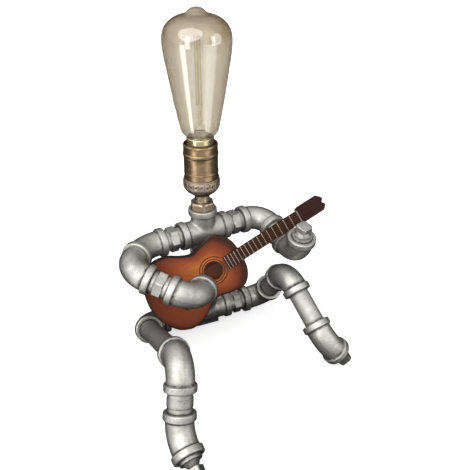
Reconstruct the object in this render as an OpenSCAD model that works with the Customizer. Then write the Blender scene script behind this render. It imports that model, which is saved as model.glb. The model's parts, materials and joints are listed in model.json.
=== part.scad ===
// Desk lamp: a seated figure built from half-inch pipe fittings. Its head is a
// lamp socket with a pear shaped bulb, and it holds a small wooden guitar.
// Millimetres. +Z is up, z = 0 is the table top, and the figure faces -Y.
// "Left" and "right" are the figure's own sides: its left arm reaches towards +X.

/* [Pipe fittings] */
// centre to face of an elbow, tee or cross
ctf = 28; // [27:0.5:30]
// centre to face of a 45 degree elbow
ctf45 = 22; // [21:0.5:24]
// radius of the rolled band at a fitting's mouth
band_r = 15.25; // [14.8:0.05:16]
// width of the rolled band
band_w = 7.5; // [6:0.5:8]
// outer radius of a fitting's body
body_r = 13.2; // [12.8:0.1:13.8]
// radius of the threaded socket in a fitting, at the crests
bore_r = 10.5; // [10.4:0.05:10.8]
// radius of the water way through a fitting
pass_r = 8; // [6:0.25:9]
// outer radius of a pipe
pipe_r = 10.65; // [10.6:0.05:11]
// length of thread that goes into a fitting
thread_len = 13; // [11:0.5:13.5]
// across flats of a hexagon nipple
hex_af = 24; // [22.5:0.5:26]
// free length of a hexagon nipple between two fittings
nipple_gap = 18; // [16:1:24]
// square head of a plug, across its flats
plug_sq = 13.5; // [11:0.5:15]

/* [Figure lengths] */
// centre of the hips to centre of the chest
torso_len = 106; // [100:1:130]
// free length of the right thigh pipe
thigh_r_gap = 98; // [90:1:104]
// free length of the left thigh pipe
thigh_l_gap = 30; // [26:1:34]
// free length of the left shin pipe
shin_l_gap = 36; // [32:1:40]
// elbow centre to shoulder face of the street elbow
street_arm = 24; // [23:0.5:27]

/* [Pose] */
// turn of the hips against the chest
hip_yaw = -7; // [-10:1:0]
// right shoulder, forearm raised
shoulder_r = 4; // [0:1:12]
// right elbow
elbow_r = -21; // [-24:1:-15]
// right wrist
wrist_r = 8; // [0:1:20]
// left shoulder, forearm lowered
shoulder_l = 13; // [11:1:20]
// left wrist
wrist_l = 1; // [-5:1:5]
// left hip
hip_l = -51.65; // [-55:0.05:-50]
// left knee
knee_l = 10; // [5:1:15]
// left ankle
ankle_l = -144; // [-150:1:-135]
// right hip
hip_r = 25.2; // [23:0.05:27]
// right knee
knee_r = -12; // [-16:1:-8]
// right ankle
ankle_r = -17; // [-22:1:-10]

/* [Lamp socket] */
// radius of the brass neck
neck_r = 7.8; // [7:0.1:9]
// height of the neck above the bushing
neck_h = 7.5; // [5:0.5:12]
// across flats of the brass bushing
bush_af = 23; // [22:0.5:25]
// height of the bushing's hexagon
bush_h = 7.8; // [6:0.5:10]
// radius of the socket cap
cap_r = 19; // [18.5:0.25:21]
// height of the domed part of the cap
dome_h = 15; // [12:0.5:18]
// radius of the socket shell
shell_r = 17.3; // [17.2:0.1:18.4]
// height of the shell above the cap's widest line
shell_h = 42; // [38:1:48]
// dimples around the cap
dimples = 20; // [12:1:24]

/* [Bulb] */
// widest radius of the glass
bulb_r = 32.3; // [28:0.1:35]
// height of the glass above its brass collar
glass_h = 120; // [105:1:130]
// thickness of the glass
glass_t = 0.8; // [0.6:0.1:1.2]
// radius of the screw base
base_r = 13.2; // [13:0.05:13.3]

/* [Guitar] */
// end of the body: right of the chest centre line (negative is the figure's right)
guitar_x = -81.2; // [-82:0.1:-80]
// end of the body: in front of the chest
guitar_y = -41.1; // [-42:0.1:-41]
// end of the body: above the chest centre
guitar_z = -49; // [-49.5:0.1:-48.5]
// turn of the soundboard about the vertical
guitar_az = -15.4; // [-16:0.2:-15]
// backward lean of the soundboard
guitar_el = 23.1; // [22.5:0.1:23.5]
// rise of the neck
guitar_roll = 24.7; // [24:0.1:25.5]
// thickness of the body
guitar_t = 15.5; // [14:0.5:16]
// length of the body behind the sound hole
tail_len = 74; // [68:0.5:75]
// half width of the lower bout
lower_w = 39.5; // [36:0.5:40.5]
// half width of the upper bout
upper_w = 31; // [28:0.5:33]
// half width of the waist
waist_w = 25.5; // [23:0.5:28]
// radius of the sound hole
hole_r = 9.6; // [8:0.2:11]
// half width of the fretboard
board_w = 6.9; // [6:0.1:7.2]
// number of frets
fret_count = 17; // [12:1:19]

/* [Resting] */
// thickness of the rubber seat pad under the hips
pad_t = 1.75; // [1:0.25:2.5]

/* [Hidden] */
fn = 64;
male_r = bore_r - 0.05;          // a thread turns in its socket with a running fit
seat = 0.15;                     // gap between a nipple's shoulder and the mouth it meets
half_af = hex_af / 2;
chest_z = torso_len + band_r + pad_t;
sw = 1 / sqrt(2);

X = [1, 0, 0];
Y = [0, 1, 0];
Z = [0, 0, 1];

// unit vector along v
function unit(v) = v / norm(v);
// v turned by a degrees about the unit axis k
function turn(v, k, a) = v * cos(a) + cross(k, v) * sin(a) + k * (k * v) * (1 - cos(a));
// direction square to d, nearest to ref, turned by a degrees about d
function square_to(d, ref, a) = turn(unit(ref - (ref * d) * d), d, a);
// placement with its origin at p, its z axis along z and its x axis along x
function place_at(p, z, x) = let (y = cross(z, x)) [
    [x[0], y[0], z[0], p[0]],
    [x[1], y[1], z[1], p[1]],
    [x[2], y[2], z[2], p[2]],
    [0, 0, 0, 1]
];

// chest and arms
chest = [0, 0, chest_z];
ra_in = -X;
ra1 = chest + ra_in * (ctf + nipple_gap + ctf45);
ra1_side = square_to(ra_in, -Y, shoulder_r);
ra1_out = sw * ra_in + sw * ra1_side;
ra2 = ra1 + ra1_out * (ctf45 + street_arm);
ra2_out = square_to(ra1_out, X, elbow_r);
ra4 = ra2 + ra2_out * (2 * ctf + nipple_gap);
ra4_out = square_to(ra2_out, Y, wrist_r);
la1 = chest + X * (2 * ctf + nipple_gap);
la1_out = square_to(X, -Y, shoulder_l);
la2 = la1 + la1_out * (2 * ctf + nipple_gap);
la2_out = square_to(la1_out, Z, wrist_l);

// hips and legs
hips = chest - Z * torso_len;
side = turn(X, Z, hip_yaw);
ahead = turn(-Y, Z, hip_yaw);
ll1 = hips + side * (2 * ctf + nipple_gap);
ll1_out = square_to(side, ahead, hip_l);
ll2 = ll1 + ll1_out * (2 * ctf + thigh_l_gap);
ll2_out = square_to(ll1_out, -Z, knee_l);
ll3 = ll2 + ll2_out * (ctf + shin_l_gap + ctf45);
ll3_side = square_to(ll2_out, ahead, ankle_l);
ll3_out = sw * ll2_out + sw * ll3_side;
rl_in = -side;
rl1 = hips + rl_in * (2 * ctf + nipple_gap);
rl1_out = square_to(rl_in, ahead, hip_r);
rl2 = rl1 + rl1_out * (2 * ctf + thigh_r_gap);
rl2_out = square_to(rl1_out, -Z, knee_r);
rl3 = rl2 + rl2_out * (ctf + nipple_gap + ctf45);
rl3_side = square_to(rl2_out, ahead, ankle_r);
rl3_out = sw * rl2_out + sw * rl3_side;

// lamp head, heights above the chest centre
bush_z = ctf + 0.2;
neck_z = bush_z + bush_h + seat;
cap_z = neck_z + neck_h;
wide_z = cap_z + dome_h;
shell_top = wide_z + shell_h;
collar_z = shell_top - 1;
glass_z = shell_top + 6.5;
tip_z = shell_top - 24;
screw_gap = 0.15;
screw_t = 0.3;
screw_r = base_r + screw_gap;

// guitar placement: x along the neck, y to the upper side, z out of the soundboard
guitar_n = [sin(guitar_az) * cos(guitar_el), -cos(guitar_az) * cos(guitar_el), sin(guitar_el)];
guitar_h = unit(cross(Z, guitar_n));
guitar_v = cross(guitar_n, guitar_h);
guitar_a = cos(guitar_roll) * guitar_h + sin(guitar_roll) * guitar_v;
guitar_c = chest + [guitar_x, guitar_y, guitar_z] + tail_len * guitar_a;
joint_x = 33;                    // where the neck meets the body
nut_x = 105;
head_x = 138;
board_x = 14.6;
board_t = 2.6;
lower_x = -tail_len * 0.6;
waist_x = -11;
upper_x = 15;

steel = [0.66, 0.66, 0.63];
bronze = [0.42, 0.33, 0.21];
brass = [0.80, 0.63, 0.33];
amber = [0.80, 0.62, 0.38, 0.35];
spruce = [0.72, 0.33, 0.13];
rosewood = [0.16, 0.09, 0.07];
mahogany = [0.30, 0.12, 0.08];
bone = [0.90, 0.86, 0.76];
wire_col = [0.85, 0.70, 0.30];

// ---------- shared shapes ----------

// rolled band, its mouth face at z = 0 and its body behind it at +z
module band() {
    rotate_extrude($fn = fn)
        polygon([[0, 0], [band_r - 1.1, 0], [band_r - 0.3, 0.35], [band_r, 1.1],
                 [band_r, band_w - 2], [band_r - 0.5, band_w - 0.9], [body_r, band_w],
                 [body_r - 0.15, band_w], [body_r - 0.15, band_w + 0.3], [0, band_w + 0.3]]);
}

// bent tube: starts at z = -st heading +z and turns towards +x
module bend(rb, r, angle, st) {
    translate([rb, 0, -st])
        rotate([0, 0, 180])
            rotate([90, 0, 0])
                rotate_extrude(angle = angle, $fn = fn)
                    translate([rb, 0])
                        circle(r = r);
}

// screwed socket with a chamfered mouth at z = 0, opening towards -z
module socket_hole(depth = thread_len + 1) {
    translate([0, 0, -1])
        cylinder(r = bore_r, h = depth + 1, $fn = fn);
    translate([0, 0, -0.01])
        cylinder(r1 = bore_r + 0.9, r2 = bore_r, h = 0.9, $fn = fn);
}

// elbow with its corner at the origin: enters along +z, leaves at `angle` towards +x
module elbow(angle, c) {
    rb = (c - band_w) / tan(angle / 2);
    difference() {
        union() {
            translate([0, 0, -c])
                band();
            rotate([0, angle, 0])
                translate([0, 0, c])
                    mirror([0, 0, 1])
                        band();
            bend(rb, body_r, angle, c - band_w);
        }
        bend(rb, pass_r, angle, c - band_w);
        translate([0, 0, -c])
            socket_hole();
        rotate([0, angle, 0])
            translate([0, 0, c])
                mirror([0, 0, 1])
                    socket_hole();
    }
}

// elbow whose first end is a male thread
module street_elbow() {
    rb = ctf - band_w;
    difference() {
        union() {
            translate([0, 0, -street_arm + seat])
                cylinder(r = body_r - 1.2, h = street_arm - rb - seat + 0.3, $fn = fn);
            translate([0, 0, -street_arm - thread_len])
                cylinder(r = male_r, h = thread_len + 1, $fn = fn);
            rotate([0, 90, 0])
                translate([0, 0, ctf])
                    mirror([0, 0, 1])
                        band();
            bend(rb, body_r, 90, rb);
        }
        bend(rb, pass_r, 90, rb);
        translate([0, 0, -street_arm - thread_len - 1])
            cylinder(r = pass_r - 0.5, h = street_arm + thread_len - rb + 1.5, $fn = fn);
        rotate([0, 90, 0])
            translate([0, 0, ctf])
                mirror([0, 0, 1])
                    socket_hole();
    }
}

// straight body with mouths at both ends of z and of x, or a tee with none at -z
module branch(lower) {
    difference() {
        union() {
            rotate([0, 90, 0])
                cylinder(r = body_r + 0.3, h = 2 * ctf - 2, center = true, $fn = fn);
            translate([0, 0, lower ? -ctf + 1 : 0])
                cylinder(r = body_r - 0.3, h = lower ? 2 * ctf - 2 : ctf - 1, $fn = fn);
            sphere(r = body_r + 1.1, $fn = fn);
            for (a = lower ? [0, 90, 180, 270] : [90, 180, 270])
                rotate([0, a, 0])
                    translate([0, 0, -ctf])
                        band();
        }
        rotate([0, 90, 0])
            cylinder(r = pass_r, h = 2 * ctf, center = true, $fn = fn);
        translate([0, 0, lower ? -ctf : 0])
            cylinder(r = pass_r - 0.4, h = lower ? 2 * ctf : ctf, $fn = fn);
        for (a = lower ? [0, 90, 180, 270] : [90, 180, 270])
            rotate([0, a, 0])
                translate([0, 0, -ctf])
                    socket_hole();
    }
}

// threaded ends of a nipple whose free length runs from z = 0 to z = gap
module nipple_ends(gap) {
    translate([0, 0, -thread_len + 0.8])
        cylinder(r = male_r, h = gap + 2 * thread_len - 1.6, $fn = fn);
    translate([0, 0, -thread_len])
        cylinder(r1 = male_r - 0.8, r2 = male_r, h = 0.8, $fn = fn);
    translate([0, 0, gap + thread_len - 0.8])
        cylinder(r1 = male_r, r2 = male_r - 0.8, h = 0.8, $fn = fn);
}

// hexagon nipple
module hex_nipple(gap = nipple_gap) {
    difference() {
        union() {
            nipple_ends(gap);
            translate([0, 0, seat])
                cylinder(r = male_r + 0.75, h = gap - 2 * seat, $fn = fn);
            translate([0, 0, gap / 2])
                intersection() {
                    cylinder(r = half_af / cos(30), h = 9.5, center = true, $fn = 6);
                    rotate_extrude($fn = fn)
                        polygon([[0, -4.75], [half_af - 0.3, -4.75], [half_af / cos(30), -3.9],
                                 [half_af / cos(30), 3.9], [half_af - 0.3, 4.75], [0, 4.75]]);
                }
        }
        translate([0, 0, -thread_len - 1])
            cylinder(r = pass_r - 0.5, h = gap + 2 * thread_len + 2, $fn = fn);
    }
}

// pipe nipple, plain between its threads
module pipe_nipple(gap, r = pipe_r) {
    difference() {
        union() {
            nipple_ends(gap);
            translate([0, 0, seat])
                cylinder(r = r, h = gap - 2 * seat, $fn = fn);
        }
        translate([0, 0, -thread_len - 1])
            cylinder(r = pass_r - 0.3, h = gap + 2 * thread_len + 2, $fn = fn);
    }
}

// barrel nipple with two turned grooves
module barrel_nipple(gap) {
    r = body_r - 1.2;
    difference() {
        union() {
            nipple_ends(gap);
            rotate_extrude($fn = fn)
                polygon([[0, seat], [r - 0.5, seat], [r - 0.5, 4.6], [r, 5.2], [r, gap - 5.2],
                         [r - 0.5, gap - 4.6], [r - 0.5, gap - seat], [0, gap - seat]]);
        }
        translate([0, 0, -thread_len - 1])
            cylinder(r = pass_r - 0.5, h = gap + 2 * thread_len + 2, $fn = fn);
    }
}

// square headed plug, its flange on the mouth face at z = 0
module plug() {
    translate([0, 0, -thread_len + 1])
        cylinder(r = male_r, h = thread_len, $fn = fn);
    rotate_extrude($fn = fn)
        polygon([[0, 0.1], [band_r - 4.2, 0.1], [band_r - 4.2, 2.6], [band_r - 5, 3.3], [0, 3.3]]);
    intersection() {
        translate([-plug_sq / 2, -plug_sq / 2, 3])
            cube([plug_sq, plug_sq, 11.5]);
        rotate_extrude($fn = fn)
            polygon([[0, 2.5], [plug_sq * 0.64, 2.5], [plug_sq * 0.64, 13.2], [plug_sq * 0.55, 14.5],
                     [0, 14.5]]);
    }
}

// ---------- body of the figure ----------

module chest_cross() {
    color(steel)
        translate(chest)
            branch(true);
}

module torso_pipe() {
    color(steel)
        translate(hips + Z * ctf)
            pipe_nipple(torso_len - 2 * ctf);
}

module hip_tee() {
    color(steel)
        translate(hips)
            rotate([0, 0, hip_yaw])
                difference() {
                    branch(false);
                    // cord outlet at the back
                    rotate([-90, 0, 0])
                        cylinder(r = 4.1, h = ctf, $fn = fn);
                    rotate([-90, 0, 0])
                        translate([0, 0, body_r - 0.4])
                            cylinder(r = 6.3, h = 5, $fn = fn);
                }
}

module seat_pad() {
    color([0.09, 0.09, 0.09])
        rotate([0, 0, hip_yaw])
            difference() {
                translate([-13, -7.5, 0])
                    cube([26, 15, pad_t + 6]);
                translate([0, 0, hips[2]])
                    rotate([0, 90, 0])
                        cylinder(r = body_r + 0.32, h = 40, center = true, $fn = fn);
                translate(hips)
                    sphere(r = body_r + 1.12, $fn = fn);
            }
}

module cord_grommet() {
    color([0.09, 0.09, 0.09])
        translate(hips)
            rotate([0, 0, hip_yaw])
                rotate([-90, 0, 0])
                    difference() {
                        union() {
                            translate([0, 0, 10])
                                cylinder(r = 4.05, h = 6, $fn = fn);
                            translate([0, 0, body_r - 0.35])
                                cylinder(r = 6.2, h = 3.6, $fn = fn);
                        }
                        cylinder(r = 2.6, h = 40, $fn = fn);
                    }
}

// ---------- right arm ----------

module shoulder_nipple_r() {
    color(steel)
        multmatrix(place_at(chest + ra_in * ctf, ra_in, Z))
            hex_nipple();
}

module upper_arm_bend_r() {
    color(steel)
        multmatrix(place_at(ra1, ra_in, ra1_side))
            elbow(45, ctf45);
}

module street_elbow_r() {
    color(steel)
        multmatrix(place_at(ra2, ra1_out, ra2_out))
            street_elbow();
}

module wrist_nipple_r() {
    color(steel)
        multmatrix(place_at(ra2 + ra2_out * ctf, ra2_out, square_to(ra2_out, Z, 20)))
            hex_nipple();
}

module hand_elbow_r() {
    color(steel)
        multmatrix(place_at(ra4, ra2_out, ra4_out))
            elbow(90, ctf);
}

// ---------- left arm ----------

module shoulder_nipple_l() {
    color(steel)
        multmatrix(place_at(chest + X * ctf, X, Z))
            hex_nipple();
}

module shoulder_elbow_l() {
    color(steel)
        multmatrix(place_at(la1, X, la1_out))
            elbow(90, ctf);
}

module forearm_nipple_l() {
    color(steel)
        multmatrix(place_at(la1 + la1_out * ctf, la1_out, square_to(la1_out, Z, 30)))
            hex_nipple();
}

module hand_elbow_l() {
    color(steel)
        multmatrix(place_at(la2, la1_out, la2_out))
            elbow(90, ctf);
}

module hand_plug_l() {
    color(steel)
        multmatrix(place_at(la2 + la2_out * ctf, la2_out, square_to(la2_out, X, 12)))
            plug();
}

// ---------- right leg ----------

module hip_nipple_r() {
    color(steel)
        multmatrix(place_at(hips + rl_in * ctf, rl_in, Z))
            hex_nipple();
}

module hip_elbow_r() {
    color(steel)
        multmatrix(place_at(rl1, rl_in, rl1_out))
            elbow(90, ctf);
}

module thigh_pipe_r() {
    color(steel)
        multmatrix(place_at(rl1 + rl1_out * ctf, rl1_out, square_to(rl1_out, Z, 0)))
            pipe_nipple(thigh_r_gap);
}

module knee_elbow_r() {
    color(steel)
        multmatrix(place_at(rl2, rl1_out, rl2_out))
            elbow(90, ctf);
}

module shin_nipple_r() {
    color(steel)
        multmatrix(place_at(rl2 + rl2_out * ctf, rl2_out, square_to(rl2_out, X, 0)))
            barrel_nipple(nipple_gap);
}

module ankle_bend_r() {
    color(steel)
        multmatrix(place_at(rl3, rl2_out, rl3_side))
            elbow(45, ctf45);
}

module toe_plug_r() {
    color(steel)
        multmatrix(place_at(rl3 + rl3_out * ctf45, rl3_out, square_to(rl3_out, X, 40)))
            plug();
}

// ---------- left leg ----------

module hip_nipple_l() {
    color(steel)
        multmatrix(place_at(hips + side * ctf, side, Z))
            hex_nipple();
}

module hip_elbow_l() {
    color(steel)
        multmatrix(place_at(ll1, side, ll1_out))
            elbow(90, ctf);
}

module thigh_pipe_l() {
    color(steel)
        multmatrix(place_at(ll1 + ll1_out * ctf, ll1_out, square_to(ll1_out, X, 0)))
            pipe_nipple(thigh_l_gap);
}

module knee_elbow_l() {
    color(steel)
        multmatrix(place_at(ll2, ll1_out, ll2_out))
            elbow(90, ctf);
}

module shin_pipe_l() {
    color(steel)
        multmatrix(place_at(ll2 + ll2_out * ctf, ll2_out, square_to(ll2_out, X, 0)))
            pipe_nipple(shin_l_gap);
}

module ankle_bend_l() {
    color(steel)
        multmatrix(place_at(ll3, ll2_out, ll3_side))
            elbow(45, ctf45);
}

module toe_plug_l() {
    color(steel)
        multmatrix(place_at(ll3 + ll3_out * ctf45, ll3_out, square_to(ll3_out, X, 25)))
            plug();
}

// ---------- lamp head ----------

module neck_bushing() {
    color(brass)
        translate(chest)
            difference() {
                union() {
                    translate([0, 0, ctf - 11])
                        cylinder(r = male_r, h = 11.5, $fn = fn);
                    translate([0, 0, bush_z + bush_h / 2])
                        rotate([0, 0, -22])
                            intersection() {
                                cylinder(r = bush_af / 2 / cos(30), h = bush_h, center = true, $fn = 6);
                                rotate_extrude($fn = fn)
                                    polygon([[0, -bush_h / 2], [bush_af / 2 + 2, -bush_h / 2],
                                             [bush_af / 2 + 2, bush_h / 2 - 1.2],
                                             [bush_af / 2 - 0.2, bush_h / 2], [0, bush_h / 2]]);
                            }
                }
                cylinder(r = 5.2, h = 80, $fn = fn);
            }
}

module neck_tube() {
    color(brass)
        translate(chest)
            difference() {
                union() {
                    translate([0, 0, ctf - 12])
                        cylinder(r = 5.15, h = cap_z + 9 - ctf + 12, $fn = fn);
                    translate([0, 0, neck_z])
                        cylinder(r = neck_r, h = neck_h, $fn = fn);
                }
                cylinder(r = 3.6, h = 160, $fn = fn);
            }
}

module socket_cap() {
    color(bronze)
        translate(chest)
            difference() {
                rotate_extrude($fn = fn)
                    polygon([
                        [5.2, cap_z + 0.05], [neck_r + 0.4, cap_z + 0.05], [neck_r + 2.2, cap_z + 1.5],
                        [cap_r * 0.66, cap_z + 3.3], [cap_r * 0.82, cap_z + 5.8],
                        [cap_r * 0.92, cap_z + 8.3], [cap_r * 0.93, cap_z + 9.2],
                        [cap_r * 0.985, cap_z + 9.6], [cap_r, cap_z + 10.6],
                        [cap_r, wide_z + 3.2], [cap_r * 0.985, wide_z + 3.9],
                        [cap_r * 0.965, wide_z + 4.2], [cap_r * 0.965, wide_z + 5.4],
                        [shell_r + 0.1, wide_z + 5.4], [shell_r + 0.1, wide_z - 1],
                        [cap_r * 0.86, wide_z - 2.5], [cap_r * 0.86, cap_z + 9.6],
                        [cap_r * 0.76, cap_z + 6.6], [cap_r * 0.6, cap_z + 4.4],
                        [cap_r * 0.5, cap_z + 3], [5.2, cap_z + 3]
                    ]);
                for (i = [0 : dimples - 1])
                    rotate([0, 0, (i + 0.5) * 360 / dimples])
                        translate([cap_r + 0.35, 0, wide_z - 0.6])
                            sphere(r = 1.15, $fn = 20);
            }
}

module socket_shell() {
    color(bronze)
        translate(chest)
            union() {
                rotate_extrude($fn = fn)
                    polygon([
                        [shell_r - 0.9, wide_z - 0.5], [shell_r, wide_z - 0.5],
                        [shell_r, wide_z + 11.5], [shell_r + 0.35, wide_z + 12.1],
                        [shell_r, wide_z + 12.7], [shell_r, wide_z + 28.5],
                        [shell_r - 0.5, wide_z + 29.1], [shell_r + 0.55, wide_z + 30.2],
                        [shell_r + 0.55, wide_z + 32.2], [shell_r, wide_z + 33.2],
                        [shell_r, shell_top - 3], [shell_r + 0.3, shell_top - 1.4],
                        [shell_r - 0.2, shell_top - 0.3], [shell_r - 0.9, shell_top],
                        [shell_r - 1.9, shell_top - 0.4], [shell_r - 1.9, shell_top - 1.1],
                        [shell_r - 0.9, shell_top - 1.1]
                    ]);
                difference() {
                    translate([shell_r - 4.2, 0, wide_z + 9])
                        sphere(r = 6, $fn = 32);
                    translate([0, 0, wide_z])
                        cylinder(r = shell_r - 0.4, h = 20, $fn = fn);
                    translate([0, 0, wide_z - 4])
                        cylinder(r = 40, h = 9.5, $fn = fn);
                }
            }
}

module socket_liner() {
    color([0.62, 0.55, 0.42])
        translate(chest + Z * (wide_z + 1))
            difference() {
                cylinder(r = shell_r - 1, h = shell_h - 5, $fn = fn);
                translate([0, 0, -1])
                    cylinder(r = shell_r - 1.8, h = shell_h, $fn = fn);
            }
}

module socket_core() {
    color([0.85, 0.82, 0.76])
        translate(chest + Z * (wide_z + 1))
            difference() {
                union() {
                    cylinder(r = shell_r - 1.85, h = 8, $fn = fn);
                    translate([0, 0, -5])
                        cylinder(r = shell_r - 5, h = 6, $fn = fn);
                }
                for (s = [-1, 1])
                    translate([s * 5.5, 0, -6])
                        cylinder(r = 1.3, h = 20, $fn = 24);
            }
}

module screw_shell() {
    color(brass)
        translate(chest)
            rotate_extrude($fn = fn)
                polygon(concat(
                    [[base_r - 4, wide_z + 9.1], [screw_r + screw_t, wide_z + 9.1]],
                    [[screw_r + screw_t, shell_top - 4]],
                    [[screw_r, shell_top - 4], [screw_r, wide_z + 9.4]],
                    [[base_r - 4, wide_z + 9.4]]
                ));
}

module centre_contact() {
    color(brass)
        translate(chest)
            union() {
                translate([0, 0, wide_z + 9.1])
                    cylinder(r = 4.2, h = 1, $fn = fn);
                translate([0, 0, wide_z + 9.5])
                    cylinder(r = 2.6, h = tip_z - wide_z - 9.8, $fn = fn);
            }
}

module lead_wires() {
    color(wire_col)
        translate(chest)
            for (s = [-1, 1])
                translate([s * 1.6, 0, -torso_len + 12])
                    cylinder(r = 1.25, h = torso_len - 12 + wide_z - 4.1, $fn = 24);
}

// ---------- bulb ----------

// radius of the glass at a fraction of its height
bulb_shape = [
    [0, 0.41], [0.012, 0.44], [0.05, 0.56], [0.13, 0.635], [0.21, 0.69], [0.3, 0.757],
    [0.38, 0.805], [0.46, 0.855], [0.54, 0.9], [0.61, 0.945], [0.68, 0.98], [0.735, 0.998],
    [0.775, 1], [0.82, 0.975], [0.86, 0.915], [0.892, 0.82], [0.92, 0.685], [0.938, 0.545],
    [0.948, 0.42], [0.954, 0.34], [0.962, 0.295], [0.975, 0.245], [0.988, 0.185], [0.997, 0.1], [1, 0]
];

module bulb_glass() {
    n = len(bulb_shape);
    color(amber)
        translate(chest + Z * glass_z)
            rotate_extrude($fn = fn)
                polygon(concat(
                    [for (p = bulb_shape) [p[1] * bulb_r, p[0] * glass_h]],
                    [for (i = [n - 1 : -1 : 0])
                        let (p = bulb_shape[i])
                            [max(0, p[1] * bulb_r - glass_t * (p[0] < 0.9 ? 1 : 1.3)),
                             p[0] < 0.9 ? p[0] * glass_h : p[0] * glass_h - glass_t * 1.4 * (p[0] - 0.9) * 10]]
                ));
}

module bulb_base() {
    color(brass)
        translate(chest)
            rotate_extrude($fn = fn)
                polygon(concat(
                    [[base_r - 1.2, tip_z + 6.5], [base_r - 0.4, tip_z + 6]],
                    [for (i = [0 : 10]) [base_r - (i % 2 == 0 ? 0 : 0.55), tip_z + 7 + i * 1.45]],
                    [[base_r, collar_z], [base_r + 0.5, collar_z + 1.2], [base_r + 0.5, glass_z - 0.7],
                     [base_r - 0.1, glass_z], [base_r - 1.2, glass_z]]
                ));
}

module bulb_insulator() {
    color([0.06, 0.06, 0.07])
        translate(chest + Z * (tip_z + 1.2))
            cylinder(r1 = 5.5, r2 = base_r - 1.25, h = 5.3, $fn = fn);
}

module bulb_tip() {
    color([0.75, 0.74, 0.70])
        translate(chest + Z * tip_z)
            cylinder(r1 = 3.4, r2 = 4.6, h = 1.2, $fn = fn);
}

// heights of the filament's lower and upper supports above the collar
wire_low = 34;
wire_high = 95;
wire_r = 4.6;
wire_count = 6;

module bulb_stem() {
    neck_in = bulb_shape[0][1] * bulb_r - glass_t;
    color([0.9, 0.9, 0.86, 0.5])
        translate(chest + Z * glass_z)
            union() {
                rotate_extrude($fn = fn)
                    polygon([[0, 0.1], [neck_in - 0.3, 0.1], [neck_in - 0.8, 1.2],
                             [neck_in - 4, 2.6], [5.4, 5], [4.2, 11], [2.7, 14], [2.6, wire_low - 4],
                             [3.4, wire_low - 2.6], [3, wire_low - 1.2], [0.9, wire_low],
                             [0.9, wire_high - 1.5], [1.7, wire_high - 0.7], [1.7, wire_high + 0.7],
                             [0.9, wire_high + 1.5], [0, wire_high + 1.5]]);
                for (z = [wire_low - 1.6, wire_high])
                    for (i = [0 : wire_count - 1])
                        rotate([0, 0, i * 360 / wire_count])
                            translate([0, 0, z])
                                rotate([0, 90, 0])
                                    cylinder(r = 0.4, h = wire_r + 0.8, $fn = 16);
            }
}

module bulb_filament() {
    z0 = wire_low - 1.6 + 0.6;
    color([0.95, 0.72, 0.30])
        translate(chest + Z * glass_z)
            for (i = [0 : wire_count - 1])
                rotate([0, 0, i * 360 / wire_count])
                    translate([wire_r, 0, z0])
                        cylinder(r = 0.75, h = wire_high - 0.6 - z0, $fn = 20);
}

// ---------- guitar ----------

module on_guitar() {
    multmatrix(place_at(guitar_c, guitar_n, guitar_a))
        children();
}

// control stations along the body: distance from the sound hole and half width
body_pts = [
    [-tail_len, 0], [-tail_len + 1.2, lower_w * 0.28], [-tail_len + 5, lower_w * 0.55],
    [-tail_len + 13, lower_w * 0.83], [-tail_len + 22, lower_w * 0.965], [lower_x, lower_w],
    [lower_x + 12, lower_w * 0.93], [lower_x + 23, waist_w * 1.17], [waist_x, waist_w],
    [waist_x + 9, waist_w * 1.07], [upper_x - 6, upper_w * 0.965], [upper_x, upper_w],
    [upper_x + 7, upper_w * 0.94], [upper_x + 13, upper_w * 0.75], [upper_x + 16.5, upper_w * 0.5],
    [joint_x - 0.3, upper_w * 0.27], [joint_x, upper_w * 0.2]
];
body_cuts = 4;

// smooth curve through four neighbouring stations
function spline(a, b, c, d, t) =
    0.5 * (2 * b + (c - a) * t + (2 * a - 5 * b + 4 * c - d) * t * t + (3 * b - a - 3 * c + d) * t * t * t);
function mirror_y(p) = [p[0], -p[1]];
half_curve = let (n = len(body_pts)) [
    for (i = [0 : n - 2])
        for (k = [0 : body_cuts - 1])
            spline(i == 0 ? mirror_y(body_pts[1]) : body_pts[i - 1], body_pts[i], body_pts[i + 1],
                   i == n - 2 ? [joint_x, 0] : body_pts[i + 2], k / body_cuts)
];
outline = concat(
    [for (p = half_curve) p],
    [body_pts[len(body_pts) - 1], mirror_y(body_pts[len(body_pts) - 1])],
    [for (i = [len(half_curve) - 1 : -1 : 1]) mirror_y(half_curve[i])]
);
// the outline moved inwards by w along its own normals
function inset(pts, w) = let (n = len(pts)) [
    for (i = [0 : n - 1])
        let (t = unit(pts[(i + 1) % n] - pts[(i + n - 1) % n])) pts[i] + w * [t[1], -t[0]]
];

// plate with the guitar's outline between two heights
module body_plate(z0, z1, w = 0) {
    translate([0, 0, z0])
        linear_extrude(height = z1 - z0)
            polygon(w == 0 ? outline : inset(outline, w));
}

module guitar_top() {
    color(spruce)
        on_guitar()
            difference() {
                body_plate(-2, 0);
                translate([0, 0, -3])
                    cylinder(r = hole_r, h = 4, $fn = fn);
            }
}

module guitar_back() {
    color(mahogany)
        on_guitar()
            body_plate(-guitar_t, -guitar_t + 2);
}

module guitar_ribs() {
    color(mahogany)
        on_guitar()
            difference() {
                body_plate(-guitar_t + 2, -2);
                translate([0, 0, -1])
                    body_plate(-guitar_t, 0, 1.8);
            }
}

module guitar_binding() {
    color(rosewood)
        on_guitar()
            difference() {
                body_plate(-2.4, 0.25, -0.6);
                translate([0, 0, 0.5])
                    body_plate(-4, 1);
                translate([joint_x - 3, -board_w - 0.1, -4])
                    cube([8, 2 * board_w + 0.2, 8]);
            }
}

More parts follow.
